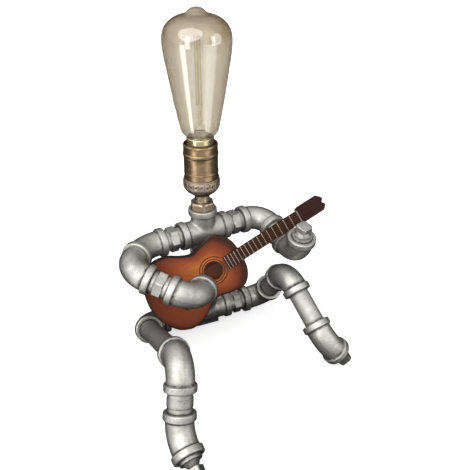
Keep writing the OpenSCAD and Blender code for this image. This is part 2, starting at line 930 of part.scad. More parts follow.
module guitar_rosette() {
    color(rosewood)
        on_guitar()
            difference() {
                union() {
                    cylinder(r = hole_r + 1.3, h = 0.25, $fn = fn);
                    difference() {
                        cylinder(r = hole_r + 5.6, h = 0.25, $fn = fn);
                        translate([0, 0, -1])
                            cylinder(r = hole_r + 2, h = 3, $fn = fn);
                    }
                }
                translate([0, 0, -1])
                    cylinder(r = hole_r + 0.1, h = 3, $fn = fn);
                translate([board_x - 0.1, -board_w - 0.1, -1])
                    cube([40, 2 * board_w + 0.2, 3]);
            }
}

module guitar_neck() {
    color(mahogany)
        on_guitar()
            union() {
                intersection() {
                    translate([joint_x + 0.7, 0, 0.6])
                        rotate([0, 90, 0])
                            cylinder(r = board_w + 1.1, h = nut_x - joint_x - 0.7, $fn = fn);
                    translate([joint_x, -board_w + 0.2, -12])
                        cube([nut_x, 2 * board_w - 0.4, 12]);
                }
                translate([joint_x + 0.65, -5, -13.5])
                    cube([5.5, 10, 13.5]);
            }
}

module guitar_fretboard() {
    color(rosewood)
        on_guitar()
            translate([board_x, -board_w, 0.02])
                cube([nut_x - board_x, 2 * board_w, board_t]);
}

// distance of a fret from the nut, by the rule of twelve equal semitones
function fret_at(i) = (nut_x + tail_len * 0.57) * (1 - pow(2, -i / 12));

module guitar_frets() {
    color(brass)
        on_guitar()
            for (i = [1 : fret_count])
                if (nut_x - fret_at(i) > board_x + 1)
                    translate([nut_x - fret_at(i) - 0.45, -board_w, board_t + 0.04])
                        cube([0.9, 2 * board_w, 0.55]);
}

module guitar_nut() {
    color(bone)
        on_guitar()
            translate([nut_x + 0.02, -board_w, 0])
                cube([1.6, 2 * board_w, board_t + 1]);
}

module guitar_headstock() {
    w = board_w + 1.7;
    color(mahogany)
        on_guitar()
            translate([0, 0, -5.5])
                linear_extrude(height = 6.5)
                    polygon([
                        [nut_x + 1.7, -board_w], [nut_x + 4, -w + 0.3], [nut_x + 5.5, -w],
                        [head_x - 3.6, -w], [head_x - 3.1, -w + 0.9], [head_x - 1.5, -w + 2.2],
                        [head_x - 1.1, -w + 3], [head_x - 0.2, -w + 4], [head_x, -w + 5.4],
                        [head_x - 0.5, -w + 6.6], [head_x - 1.6, -w + 7.4], [head_x - 2.1, 0],
                        [head_x - 1.6, w - 7.4], [head_x - 0.5, w - 6.6], [head_x, w - 5.4],
                        [head_x - 0.2, w - 4], [head_x - 1.1, w - 3], [head_x - 1.5, w - 2.2],
                        [head_x - 3.1, w - 0.9], [head_x - 3.6, w],
                        [nut_x + 5.5, w], [nut_x + 4, w - 0.3], [nut_x + 1.7, board_w]
                    ]);
}

module guitar_bridge() {
    color(rosewood)
        on_guitar()
            translate([lower_x + 1, 0, 0.02])
                linear_extrude(height = 2.2)
                    polygon([
                        [-3.6, -15], [0, -20.5], [3.2, -15], [3.2, 15], [0, 20.5], [-3.6, 15]
                    ]);
}

module guitar_saddle() {
    color(bone)
        on_guitar()
            union() {
                translate([lower_x + 2.4, -8, 2.24])
                    cube([1.2, 16, 1.3]);
                for (i = [-2.5 : 1 : 2.5])
                    translate([lower_x - 0.6, i * 2.5, 2.24])
                        cylinder(r = 0.7, h = 0.9, $fn = 20);
            }
}

module guitar_strings() {
    run = nut_x - lower_x - 1;
    color([0.78, 0.72, 0.60])
        on_guitar()
            for (i = [-2.5 : 1 : 2.5])
                translate([lower_x + 2, i * 2.1, board_t + 1.35])
                    rotate([0, 90, 0])
                        cylinder(r = 0.28, h = run, $fn = 16);
}

// clip on the torso pipe with an arm and a plate against the guitar's back
module guitar_bracket() {
    clip_z = chest_z - ctf - 12;
    back = guitar_c + guitar_n * (-guitar_t - 0.05);
    reach = ((back - [0, 0, clip_z]) * guitar_n) / (guitar_n * -Y);
    color([0.30, 0.30, 0.30])
        difference() {
            union() {
                translate([0, 0, clip_z - 6])
                    cylinder(r = pipe_r + 2.6, h = 12, $fn = fn);
                intersection() {
                    translate([-5, -60, clip_z - 6])
                        cube([10, 60, 12]);
                    multmatrix(place_at(back, guitar_n, guitar_a))
                        translate([-60, -80, -60])
                            cube([120, 120, 60]);
                }
            }
            translate([0, 0, clip_z - 10])
                cylinder(r = pipe_r + 0.05, h = 20, $fn = fn);
        }
}

// ---------- output ----------

chest_cross();
torso_pipe();
hip_tee();
seat_pad();
cord_grommet();
shoulder_nipple_r();
upper_arm_bend_r();
street_elbow_r();
wrist_nipple_r();
hand_elbow_r();
shoulder_nipple_l();
shoulder_elbow_l();
forearm_nipple_l();
hand_elbow_l();
hand_plug_l();
hip_nipple_r();
hip_elbow_r();
thigh_pipe_r();
knee_elbow_r();
shin_nipple_r();
ankle_bend_r();
toe_plug_r();
hip_nipple_l();
hip_elbow_l();
thigh_pipe_l();
knee_elbow_l();
shin_pipe_l();
ankle_bend_l();
toe_plug_l();
neck_bushing();
neck_tube();
socket_cap();
socket_shell();
socket_liner();
socket_core();
screw_shell();
centre_contact();
lead_wires();
bulb_glass();
bulb_base();
bulb_insulator();
bulb_tip();
bulb_stem();
bulb_filament();
guitar_top();
guitar_back();
guitar_ribs();
guitar_binding();
guitar_rosette();
guitar_neck();
guitar_fretboard();
guitar_frets();
guitar_nut();
guitar_headstock();
guitar_bridge();
guitar_saddle();
guitar_strings();
guitar_bracket();
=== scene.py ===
"""A posable desk lamp: a seated figure of half-inch pipe fittings with a bulb for its head and a guitar."""

import json
import logging
import math
from dataclasses import dataclass, field
from enum import Enum
from functools import cached_property
from typing import Optional, Sequence

import bmesh
import bpy
import numpy as np
from mathutils import Matrix, Vector

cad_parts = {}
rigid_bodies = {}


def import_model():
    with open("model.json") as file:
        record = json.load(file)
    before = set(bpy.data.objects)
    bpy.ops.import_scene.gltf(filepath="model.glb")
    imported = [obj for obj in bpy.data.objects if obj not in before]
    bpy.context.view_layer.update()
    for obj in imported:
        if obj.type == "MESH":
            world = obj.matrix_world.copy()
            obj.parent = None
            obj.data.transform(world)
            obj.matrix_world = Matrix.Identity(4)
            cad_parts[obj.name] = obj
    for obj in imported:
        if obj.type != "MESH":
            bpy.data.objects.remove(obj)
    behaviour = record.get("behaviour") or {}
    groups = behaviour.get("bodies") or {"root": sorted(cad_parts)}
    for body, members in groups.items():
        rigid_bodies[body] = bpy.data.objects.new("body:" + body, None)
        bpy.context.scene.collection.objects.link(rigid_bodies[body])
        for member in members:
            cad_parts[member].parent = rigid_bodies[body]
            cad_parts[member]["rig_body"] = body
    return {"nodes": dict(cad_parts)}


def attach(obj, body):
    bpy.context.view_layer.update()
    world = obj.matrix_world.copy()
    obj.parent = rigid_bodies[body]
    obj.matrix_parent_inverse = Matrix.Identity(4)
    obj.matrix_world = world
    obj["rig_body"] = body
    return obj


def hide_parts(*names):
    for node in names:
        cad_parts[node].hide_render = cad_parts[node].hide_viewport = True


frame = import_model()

LOG = logging.getLogger("desk_lamp")
MM = 0.001  # a millimetre in metres
TINY = 1e-9  # a length or angle that counts as none
FLAT_CORNER = 0.02  # half bend in radians below which a corner gets no arc
WELD = 2e-7  # metres within which two points become one
SLIVER = 1e-8  # metres below which an edge is dropped
SENSOR = 36.0  # camera sensor width in millimetres
HEX_COLUMNS = 120  # points round a hexagonal piece
Array = np.ndarray
AXIS_X = np.array([1.0, 0.0, 0.0])
AXIS_Y = np.array([0.0, 1.0, 0.0])
AXIS_Z = np.array([0.0, 0.0, 1.0])
HEIGHT_ONLY = np.array([1.0, 0.0])  # keeps a lathe row's height and drops its radius
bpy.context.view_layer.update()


# ---------------------------------------------------------------- directions


def unit(v: Array) -> Array:
    """The vector divided by its own length."""
    return v / np.linalg.norm(v)


def turned(v: Array, axis: Array, degrees: float) -> Array:
    """Turn a vector about a unit axis: cosine part, cross product part and the part along the axis.

    Args:
        v: The vector to turn.
        axis: Unit axis of the turn.
        degrees: Right-handed angle.

    Returns:
        The turned vector.
    """
    a = math.radians(degrees)
    along = axis * float(axis @ v) * (1.0 - math.cos(a))
    return v * math.cos(a) + np.cross(axis, v) * math.sin(a) + along


def square_to(direction: Array, near: Array, degrees: float = 0.0) -> Array:
    """Direction square to another one: the rest of `near` once its share along `direction` is gone.

    Args:
        direction: Unit direction that the result is square to.
        near: Direction that the result starts nearest to.
        degrees: Turn about `direction` after that.

    Returns:
        A unit vector.
    """
    return turned(unit(near - float(near @ direction) * direction), direction, degrees)


@dataclass(frozen=True)
class Placement:
    """Where a fitting stands: its origin and the directions of its own z and x axes, in millimetres."""

    origin: Array
    z: Array
    x: Array

    def apply(self, points: Array) -> Array:
        """Carry points from the fitting's own axes to the lamp's: origin plus each coordinate along its axis.

        Args:
            points: Array whose last axis holds x, y and z.

        Returns:
            Array of the same shape.
        """
        basis = np.stack([self.x, np.cross(self.z, self.x), self.z])
        return self.origin + points @ basis


# ---------------------------------------------------------------- surfaces


def rounded(corners: Sequence[tuple[float, float, float]], steps: int = 4) -> Array:
    """Closed outline whose corners are arcs: each touches its two edges at radius over tan(half angle).

    An arc is a rational curve of its two touching points and its corner, whose weight is the sine of half
    the angle. A corner with no radius, or hardly any bend, stays one point.

    Args:
        corners: Corners as (a, b, radius), in order round the outline.
        steps: Segments of each arc.

    Returns:
        Array of shape (n, 2).
    """
    table = np.array(corners, float)
    points, radius = table[:, :2], table[:, 2]
    before, after = np.roll(points, 1, 0) - points, np.roll(points, -1, 0) - points
    long_before = np.maximum(np.linalg.norm(before, axis=1), TINY)
    long_after = np.maximum(np.linalg.norm(after, axis=1), TINY)
    cosine = np.clip((before * after).sum(1) / (long_before * long_after), -1.0, 1.0)
    half = np.arccos(cosine) / 2.0
    plain = (radius < TINY) | (half > math.pi / 2 - FLAT_CORNER)
    reach = np.minimum(radius / np.maximum(np.tan(half), TINY), 0.49 * np.minimum(long_before, long_after))
    a = (points + before * (reach / long_before)[:, None])[:, None]
    b = (points + after * (reach / long_after)[:, None])[:, None]
    t = np.linspace(0.0, 1.0, steps + 1)[None, :, None]
    first, last = (1 - t) ** 2, t**2
    middle = 2 * np.sin(half)[:, None, None] * t * (1 - t)
    arcs = (first * a + middle * points[:, None] + last * b) / (first + middle + last)
    arcs = np.where(plain[:, None, None], points[:, None], arcs)
    return arcs[~plain[:, None] | (np.arange(steps + 1) == 0)]


def refined(outline: Array, step: float) -> Array:
    """Closed outline with points added so that no edge is longer than `step`.

    An edge gets its length over `step` points, rounded up, at equal shares of the way to its other end.

    Args:
        outline: Array of shape (n, 2).
        step: Longest edge that stays.

    Returns:
        Array of shape (m, 2).
    """
    edges = np.roll(outline, -1, 0) - outline
    count = np.maximum(1, np.ceil(np.linalg.norm(edges, axis=1) / step)).astype(int)
    edge = np.repeat(np.arange(len(outline)), count)
    share = (np.arange(len(edge)) - (np.cumsum(count) - count)[edge]) / count[edge]
    return outline[edge] + edges[edge] * share[:, None]


def around(count: int) -> Array:
    """Evenly spaced angles of a full turn, in radians."""
    return np.arange(count) * (2.0 * math.pi / count)


def lathe(outline: Array, count: int = 96, extra: Optional[Array] = None) -> Array:
    """Surface of revolution: each (height, radius) row is a circle about z, plus `extra` on its radius.

    Args:
        outline: Rows of (height, radius).
        count: Points round the axis.
        extra: Array of shape (rows, count) added to the radius.

    Returns:
        Array of shape (rows, count, 3).
    """
    a = around(count)
    r = outline[:, 1:2] + (0.0 if extra is None else extra)
    z = np.broadcast_to(outline[:, :1], (len(outline), count))
    return np.stack([r * np.cos(a), r * np.sin(a), z], -1)


def flats(angles: Array, across: float, sides: int) -> Array:
    """Radius of a regular prism at each angle: half its width over the cosine of the angle from a flat.

    Args:
        angles: Angles in radians.
        across: Width across the flats.
        sides: Number of flats.

    Returns:
        Radius at each angle.
    """
    pitch = 2.0 * math.pi / sides
    return across / 2.0 / np.cos((angles + pitch / 2) % pitch - pitch / 2)


def hex_corner(across: float) -> float:
    """Radius of a hexagon's corners: half its width over the cosine of thirty degrees."""
    return across / 2.0 / math.cos(math.pi / 6)


def hexagonal(rows: Array, across: float, eased: float, above: float, turn: float = 0.0) -> Array:
    """Lathed rows that are cut to a hexagon where they reach out past a round part.

    There the radius is the least of the row's own, the flats' and the corners' less their easing.

    Args:
        rows: Rows of (height, radius).
        across: Width across the flats.
        eased: How much is taken off the corners.
        above: Radius beyond which a row is cut.
        turn: Angle of the first flat in radians.

    Returns:
        Array of shape (rows, HEX_COLUMNS, 3).
    """
    wall = np.minimum(flats(around(HEX_COLUMNS) + turn, across, 6), hex_corner(across) - eased)
    own = rows[:, 1:2]
    return lathe(rows * HEIGHT_ONLY, HEX_COLUMNS, np.where(own > above, np.minimum(wall, own), own))


def bump_at(x: Array, centre: float, width: float) -> Array:
    """Bell curve of height one: the exponential of minus the squared distance over the squared width."""
    return np.exp(-(((x - centre) / width) ** 2))


@dataclass(frozen=True)
class BentPath:
    """Centre line of an elbow: straight, arc, straight, with its corner at the origin.

    It comes in along +z and leaves at `angle` degrees towards +x. Lengths are in millimetres.
    """

    reach: float
    lead: float
    angle: float

    @property
    def arc_radius(self) -> float:
        """Radius of the bend: the rest of the reach over the tangent of half the angle."""
        return (self.reach - self.lead) / math.tan(math.radians(self.angle) / 2.0)

    @property
    def length(self) -> float:
        """Length of the centre line from mouth to mouth."""
        return 2.0 * self.lead + self.arc_radius * math.radians(self.angle)

    def surface(self, s: Array, radius: Array, count: int) -> Array:
        """Circles of the given radius round the centre line at each distance `s` from the first mouth.

        Args:
            s: Distances along the centre line, of shape (rows,).
            radius: Radii of shape (rows,) or (rows, count).
            count: Points round the line.

        Returns:
            Array of shape (rows, count, 3).
        """
        phi = np.clip((s - self.lead) / self.arc_radius, 0.0, math.radians(self.angle))
        past = s - self.lead - self.arc_radius * phi
        start = self.reach - self.lead
        zero = np.zeros_like(phi)
        tangent = np.stack([np.sin(phi), zero, np.cos(phi)], -1)
        inward = np.stack([np.cos(phi), zero, -np.sin(phi)], -1)
        centre = np.stack(
            [self.arc_radius * (1 - np.cos(phi)), zero, self.arc_radius * np.sin(phi) - start], -1
        )
        centre = centre + past[:, None] * tangent
        a = around(count)
        ring = np.cos(a)[None, :, None] * inward[:, None] + np.sin(a)[None, :, None] * AXIS_Y
        r = radius if radius.ndim == 2 else radius[:, None]
        return centre[:, None] + r[..., None] * ring


@dataclass
class Draft:
    """Surfaces collected in millimetres, with named values at their points, that become one mesh."""

    points: list[Array] = field(default_factory=list)
    faces: list[Array] = field(default_factory=list)
    values: list[dict[str, Array]] = field(default_factory=list)
    total: int = 0

    def grid(self, points: Array, rows_closed: bool = False, columns_closed: bool = True,
             **values: Array | float) -> "Draft":
        """Add a grid surface: each cell of the grid is a four-sided face.

        Args:
            points: Array of shape (rows, columns, 3).
            rows_closed: Whether the last row joins the first.
            columns_closed: Whether the last column joins the first.
            values: Named values for each point, as numbers or arrays that fit (rows, columns).

        Returns:
            The draft itself.
        """
        n, m = points.shape[:2]
        i = np.arange(n if rows_closed else n - 1)[:, None]
        j = np.arange(m if columns_closed else m - 1)[None, :]
        i2, j2 = (i + 1) % n, (j + 1) % m
        quads = np.stack([i * m + j, i * m + j2, i2 * m + j2, i2 * m + j], -1)
        self.faces.append(quads.reshape(-1, 4) + self.total)
        self.points.append(points.reshape(-1, 3))
        self.values.append({k: np.broadcast_to(np.asarray(v, float), (n, m)).ravel()
                            for k, v in values.items()})
        self.total += n * m
        return self

    def carried(self, place: Placement) -> "Draft":
        """Move all the surfaces so far to a placement."""
        self.points = [place.apply(p) for p in self.points]
        return self

    def mesh_object(self, name: str, sharp: float = 38.0) -> bpy.types.Object:
        """Make the mesh object: equal points are merged, and its faces are turned outwards.

        Args:
            name: Name of the piece.
            sharp: Edges that bend by more degrees than this stay sharp in the shading.

        Returns:
            An object at the origin, with its place in its mesh.
        """
        mesh = bpy.data.meshes.new(name)
        co = np.vstack(self.points) * MM
        quads = np.vstack(self.faces)
        mesh.vertices.add(len(co))
        mesh.vertices.foreach_set("co", co.astype(np.float32).ravel())
        mesh.loops.add(quads.size)
        mesh.loops.foreach_set("vertex_index", quads.astype(np.int32).ravel())
        mesh.polygons.add(len(quads))
        mesh.polygons.foreach_set("loop_start", np.arange(len(quads), dtype=np.int32) * 4)
        mesh.update(calc_edges=True)
        for key in sorted({k for v in self.values for k in v}):
            data = np.concatenate([v.get(key, np.zeros(len(p))) for v, p in zip(self.values, self.points)])
            layer = mesh.attributes.new(key, "FLOAT", "POINT")
            layer.data.foreach_set("value", data.astype(np.float32))
        work = bmesh.new()
        work.from_mesh(mesh)
        bmesh.ops.remove_doubles(work, verts=work.verts, dist=WELD)
        bmesh.ops.dissolve_degenerate(work, edges=work.edges, dist=SLIVER)
        bmesh.ops.recalc_face_normals(work, faces=work.faces)
        work.to_mesh(mesh)
        work.free()
        mesh.polygons.foreach_set("use_smooth", np.ones(len(mesh.polygons), bool))
        mesh.set_sharp_from_angle(angle=math.radians(sharp))
        piece = bpy.data.objects.new(name, mesh)
        bpy.context.scene.collection.objects.link(piece)
        return piece


# ---------------------------------------------------------------- shader helpers


@dataclass
class Wiring:
    """Short calls for adding and joining the nodes of one shader tree."""

    tree: bpy.types.NodeTree

    def add(self, kind: str, values: Optional[dict] = None, **settings: object) -> bpy.types.Node:
        """Add a node.

        Args:
            kind: The node's type name without its ShaderNode prefix, or in full.
            values: Socket values or sources, by the socket's name or number.
            settings: Attributes of the node itself.

        Returns:
            The new node.
        """
        full = kind if kind.startswith(("Node", "Shader")) else "ShaderNode" + kind
        node = self.tree.nodes.new(full)
        for key, value in settings.items():
            setattr(node, key, value)
        self.fill(node, values or {})
        return node

    def fill(self, node: bpy.types.Node, values: dict) -> None:
        """Set or join the inputs of a node.

        Args:
            node: The node.
            values: Socket values or sources, by the socket's name or number.
        """
        for key, value in values.items():
            socket = node.inputs[key]
            if isinstance(value, bpy.types.NodeSocket):
                self.tree.links.new(value, socket)
            elif isinstance(value, tuple) and len(value) == 3 and len(socket.default_value) == 4:
                socket.default_value = (*value, 1.0)
            else:
                socket.default_value = value

    def math(self, operation: str, a: object, b: object = 0.0, clamp: bool = False) -> bpy.types.NodeSocket:
        """One sum, product or other operation on two values."""
        return self.add("Math", {0: a, 1: b}, operation=operation, use_clamp=clamp).outputs[0]

    def vector(self, operation: str, a: object, b: object = (0.0, 0.0, 0.0)) -> bpy.types.NodeSocket:
        """One product or length of vectors that gives a value."""
        return self.add("VectorMath", {0: a, 1: b}, operation=operation).outputs["Value"]

    def attribute(self, name: str) -> bpy.types.NodeSocket:
        """The value that a mesh carries under a name, or zero."""
        return self.add("Attribute", attribute_name=name, attribute_type="GEOMETRY").outputs["Fac"]

    def place(self) -> bpy.types.NodeSocket:
        """Object coordinates."""
        return self.add("TexCoord").outputs["Object"]

    def bump(self, height: bpy.types.NodeSocket, strength: float, distance: float) -> bpy.types.NodeSocket:
        """Normals that follow a height, in metres, at a strength."""
        return self.add("Bump", {"Strength": strength, "Distance": distance, "Height": height}).outputs[0]

    def blend(self, amount: object, a: object, b: object, blend_type: str = "MIX") -> bpy.types.NodeSocket:
        """Mix two colours by an amount.

        Args:
            amount: Share of the second colour.
            a: First colour.
            b: Second colour.
            blend_type: How they are combined.

        Returns:
            The mixed colour.
        """
        return self.add("Mix", {0: amount, 6: a, 7: b}, data_type="RGBA", blend_type=blend_type).outputs[2]

    def ranged(self, value: object, low: float, high: float, to_low: float,
               to_high: float) -> bpy.types.NodeSocket:
        """Map a range of values to another one, in a straight line that is cut off at both ends."""
        return self.add("MapRange", {0: value, 1: low, 2: high, 3: to_low, 4: to_high}).outputs[0]


def new_group(name: str, inputs: dict[str, tuple[str, object]], outputs: dict[str, str]) -> tuple:
    """Start a shader node group with named sockets.

    Args:
        name: The group's name.
        inputs: Socket kind and default by name.
        outputs: Socket kind by name.

    Returns:
        The group, its wiring, its input node and its output node.
    """
    group = bpy.data.node_groups.new(name, "ShaderNodeTree")
    kinds = {"value": "NodeSocketFloat", "vector": "NodeSocketVector", "colour": "NodeSocketColor"}
    for key, (kind, default) in inputs.items():
        socket = group.interface.new_socket(key, in_out="INPUT", socket_type=kinds[kind])
        if default is not None:
            socket.default_value = default
    for key, kind in outputs.items():
        group.interface.new_socket(key, in_out="OUTPUT", socket_type=kinds[kind])
    wiring = Wiring(group)
    return group, wiring, wiring.add("NodeGroupInput"), wiring.add("NodeGroupOutput")


class SharedEffects:
    """Node groups that more than one finish uses, each built once."""

    @cached_property
    def mottle(self) -> bpy.types.NodeTree:
        """Cloudy patches over small crystals, as zinc and old bronze show.

        Its outputs, all from 0 to 1, are Patches (noise with a share of the crystals' own values), Grit
        (fine noise) and Specks (small spots in some of the cells of a fine pattern).
        """
        group, w, start, end = new_group(
            "mottle",
            {"Vector": ("vector", None), "Patch Scale": ("value", 60.0), "Grit Scale": ("value", 900.0)},
            {"Patches": "value", "Grit": "value", "Specks": "value"},
        )
        at, patch, fine = (start.outputs[key] for key in ("Vector", "Patch Scale", "Grit Scale"))
        cloud = w.add("TexNoise",
                      {"Vector": at, "Scale": patch, "Detail": 5.0, "Roughness": 0.62, "Distortion": 0.4})
        crystal = w.add("TexVoronoi", {"Vector": at, "Scale": w.math("MULTIPLY", patch, 5.0)})
        spark = w.add("SeparateColor", {0: crystal.outputs["Color"]}).outputs[0]
        patches = w.math("ADD", w.ranged(cloud.outputs[0], 0.3, 0.7, 0.0, 0.8),
                         w.math("MULTIPLY", spark, 0.2))
        grit = w.add("TexNoise", {"Vector": at, "Scale": fine, "Detail": 3.0, "Roughness": 0.7})
        pit = w.add("TexVoronoi", {"Vector": at, "Scale": w.math("MULTIPLY", fine, 0.5)})
        chance = w.add("SeparateColor", {0: pit.outputs["Color"]}).outputs[0]
        specks = w.math("MULTIPLY", w.ranged(pit.outputs["Distance"], 0.15, 0.4, 1.0, 0.0),
                        w.ranged(chance, 0.5, 0.8, 0.0, 1.0))
        w.fill(end, {"Patches": patches, "Grit": grit.outputs[0], "Specks": specks})
        return group

    @cached_property
    def dirt_and_painted_shade(self) -> bpy.types.NodeTree:
        """Real dirt and painted shade in grooves, broken up by noise: the clean colour with it on, and its
        mask.
        """
        group, w, start, end = new_group(
            "dirt_and_painted_shade",
            {"Vector": ("vector", None), "Clean": ("colour", (0.5, 0.5, 0.5, 1)),
             "Dirt": ("colour", (0.05, 0.045, 0.04, 1)), "Groove": ("value", 0.0),
             "Strength": ("value", 0.8)},
            {"Color": "colour", "Mask": "value"},
        )
        noise = w.add("TexNoise", {"Vector": start.outputs["Vector"], "Scale": 260.0, "Detail": 4.0})
        broken = w.math("MULTIPLY", start.outputs["Groove"], w.ranged(noise.outputs[0], 0.3, 0.65, 0.35, 1.0))
        mask = w.math("MULTIPLY", broken, start.outputs["Strength"], clamp=True)
        w.fill(end, {"Color": w.blend(mask, start.outputs["Clean"], start.outputs["Dirt"]), "Mask": mask})
        return group

    @cached_property
    def wood_grain(self) -> bpy.types.NodeTree:
        """Fine lines along x, as noise stretched that way, from 0 to 1."""
        group, w, start, end = new_group(
            "wood_grain",
            {"Vector": ("vector", None), "Stretch": ("value", 14.0), "Scale": ("value", 700.0)},
            {"Lines": "value"},
        )
        x, y, z = w.add("SeparateXYZ", {0: start.outputs["Vector"]}).outputs
        thin = w.add("CombineXYZ", {0: w.math("DIVIDE", x, start.outputs["Stretch"]), 1: y, 2: z})
        noise = w.add("TexNoise", {"Vector": thin.outputs[0], "Scale": start.outputs["Scale"], "Detail": 6.0,
                                   "Roughness": 0.6, "Distortion": 0.15})
        w.fill(end, {"Lines": w.ranged(noise.outputs[0], 0.32, 0.68, 0.0, 1.0)})
        return group


EFFECTS = SharedEffects()


@dataclass(frozen=True)
class Metal:
    """A metal finish: two-tone patches, dirt and painted shade in grooves, painted shade at its outline, a
    fine cast or drawn skin.
    """

    name: str
    light: tuple[float, float, float]
    dark: tuple[float, float, float]
    dirt_and_shade: tuple[float, float, float]
    metallic: float
    roughness: tuple[float, float]
    patch_scale: float = 70.0
    grit_scale: float = 1100.0
    grit: float = 0.12
    dirt_and_shade_strength: float = 0.95
    pits: float = 0.0
    edge_shade: float = 0.35

    def build(self) -> bpy.types.Material:
        """Make the material.

        Returns:
            The new material.
        """
        material, w, shader = new_material(self.name)
        coords = w.place()
        mottle = w.add("Group",
                       {"Vector": coords, "Patch Scale": self.patch_scale, "Grit Scale": self.grit_scale},
                       node_tree=EFFECTS.mottle)
        clean = w.blend(mottle.outputs["Patches"], self.dark, self.light)
        clean = w.blend(w.math("MULTIPLY", mottle.outputs["Specks"], self.pits), clean, self.dirt_and_shade)
        # Grooves darken towards the dirt-and-shade colour: real dirt and painted shade in the creases.
        dirt_and_shade = w.add("Group",
                     {"Vector": coords, "Clean": clean, "Dirt": self.dirt_and_shade, "Groove": w.attribute("groove"),
                               "Strength": self.dirt_and_shade_strength}, node_tree=EFFECTS.dirt_and_painted_shade)
        # Painted shade: the colour turns towards the dark dirt-and-shade colour where the surface faces away
        # from the eye, by up to edge_shade.
        facing = w.add("LayerWeight", {"Blend": 0.5}).outputs["Facing"]
        painted_edge_shade = w.ranged(facing, 0.35, 1.0, 0.0, self.edge_shade)
        rough = w.ranged(mottle.outputs["Patches"], 0.0, 1.0, self.roughness[1], self.roughness[0])
        w.fill(shader, {
            "Base Color": w.blend(painted_edge_shade, dirt_and_shade.outputs["Color"], self.dirt_and_shade),
            "Roughness": w.math("ADD", rough, w.math("MULTIPLY", dirt_and_shade.outputs["Mask"], 0.25), clamp=True),
            "Normal": w.bump(mottle.outputs["Grit"], self.grit, 0.0004),
            "Metallic": self.metallic,
        })
        return material


@dataclass(frozen=True)
class Wood:
    """A lacquered wood: two tones of grain, and a darker burst towards the rim where the piece has one."""

    name: str
    light: tuple[float, float, float]
    dark: tuple[float, float, float]
    middle: tuple[float, float, float]
    rim: tuple[float, float, float]
    grain_axis: Array
    across_axis: Array
    stretch: float = 16.0
    scale: float = 900.0
    roughness: float = 0.4
    coat: float = 0.04
    specular: float = 0.2

    def build(self) -> bpy.types.Material:
        """Make the material.

        Returns:
            The new material.
        """
        material, w, shader = new_material(self.name)
        coords = w.place()
        third = np.cross(self.grain_axis, self.across_axis)
        local = w.add("CombineXYZ", {i: w.vector("DOT_PRODUCT", coords, tuple(axis))
                                     for i, axis in enumerate((self.grain_axis, self.across_axis, third))})
        grain = w.add("Group", {"Vector": local.outputs[0], "Stretch": self.stretch, "Scale": self.scale},
                      node_tree=EFFECTS.wood_grain).outputs["Lines"]
        rim = w.attribute("rim")
        shaded = w.blend(w.ranged(rim, 0.1, 0.5, 0.0, 1.0), w.blend(grain, self.dark, self.light),
                         self.middle)
        shaded = w.blend(w.ranged(rim, 0.45, 0.92, 0.0, 1.0), shaded, self.rim)
        shaded = w.blend(w.ranged(rim, 0.92, 1.0, 0.0, 0.8), shaded, (0.03, 0.012, 0.008))
        shaded = w.blend(0.35, shaded, w.blend(grain, (0.6, 0.55, 0.5), (1.0, 1.0, 1.0)), "MULTIPLY")
        dirt_and_shade = w.add("Group", {"Vector": coords, "Clean": shaded, "Groove": w.attribute("groove")},
                     node_tree=EFFECTS.dirt_and_painted_shade)
        w.fill(shader, {
            "Base Color": dirt_and_shade.outputs["Color"],
            "Roughness": w.ranged(grain, 0.0, 1.0, self.roughness + 0.1, self.roughness),
            "Normal": w.bump(grain, 0.08, 0.0003),
            "Coat Weight": self.coat,
            "Specular IOR Level": self.specular,
        })
        return material


@dataclass(frozen=True)
class Moulded:
    """A rubber, board or plastic with a fine uneven skin."""

    name: str
    light: tuple[float, float, float]
    dark: tuple[float, float, float]
    roughness: float

    def build(self) -> bpy.types.Material:
        """Make the material.

        Returns:
            The new material.
        """
        material, w, shader = new_material(self.name)
        mottle = w.add("Group", {"Vector": w.place()}, node_tree=EFFECTS.mottle)
        grit = mottle.outputs["Grit"]
        w.fill(shader, {
            "Base Color": w.blend(mottle.outputs["Patches"], self.dark, self.light),
            "Roughness": w.ranged(grit, 0.3, 0.7, self.roughness - 0.08, self.roughness + 0.08),
            "Normal": w.bump(grit, 0.15, 0.0003),
        })
        return material


@dataclass(frozen=True)
class TintedGlass:
    """Clear glass with a smoky amber tint that deepens towards its crown and its edges."""

    name: str
    clear: tuple[float, float, float]
    smoky: tuple[float, float, float]
    edge: tuple[float, float, float]
    crown_from: float = 0.0
    crown_to: float = 0.0
    edge_share: float = 0.8
    ior: float = 1.45
    coat: float = 0.0
    coat_ior: float = 1.95

    def build(self) -> bpy.types.Material:
        """Make the material.

        Returns:
            The new material.
        """
        material, w, shader = new_material(self.name)
        coords = w.place()
        colour: object = self.clear
        if self.crown_to > self.crown_from:
            height = w.add("SeparateXYZ", {0: coords}).outputs[2]
            noise = w.add("TexNoise", {"Vector": coords, "Scale": 45.0, "Detail": 3.0})
            wavy = w.math("ADD", height, w.math("MULTIPLY", noise.outputs[0], 0.012))
            crown = w.ranged(wavy, self.crown_from, self.crown_to, 0.0, 1.0)
            colour = w.blend(w.math("POWER", crown, 1.6), self.clear, self.smoky)
        facing = w.add("LayerWeight", {"Blend": 0.5}).outputs["Facing"]
        rim = w.ranged(facing, 0.06, 0.75, 0.0, self.edge_share)
        w.fill(shader,
               {"Base Color": w.blend(rim, colour, self.edge), "Transmission Weight": 1.0, "Roughness": 0.02,
                        "IOR": self.ior, "Coat Weight": self.coat, "Coat IOR": self.coat_ior})
        return material


def new_material(name: str) -> tuple[bpy.types.Material, Wiring, bpy.types.Node]:
    """Start a material with an empty tree, a surface shader and an output.

    Args:
        name: The material's name.

    Returns:
        The material, its wiring and its surface shader.
    """
    material = bpy.data.materials.new(name)
    material.use_nodes = True
    material.node_tree.nodes.clear()
    w = Wiring(material.node_tree)
    shader = w.add("BsdfPrincipled")
    w.add("OutputMaterial", {0: shader.outputs[0]})
    return material, w, shader


# ---------------------------------------------------------------- putting pieces in place


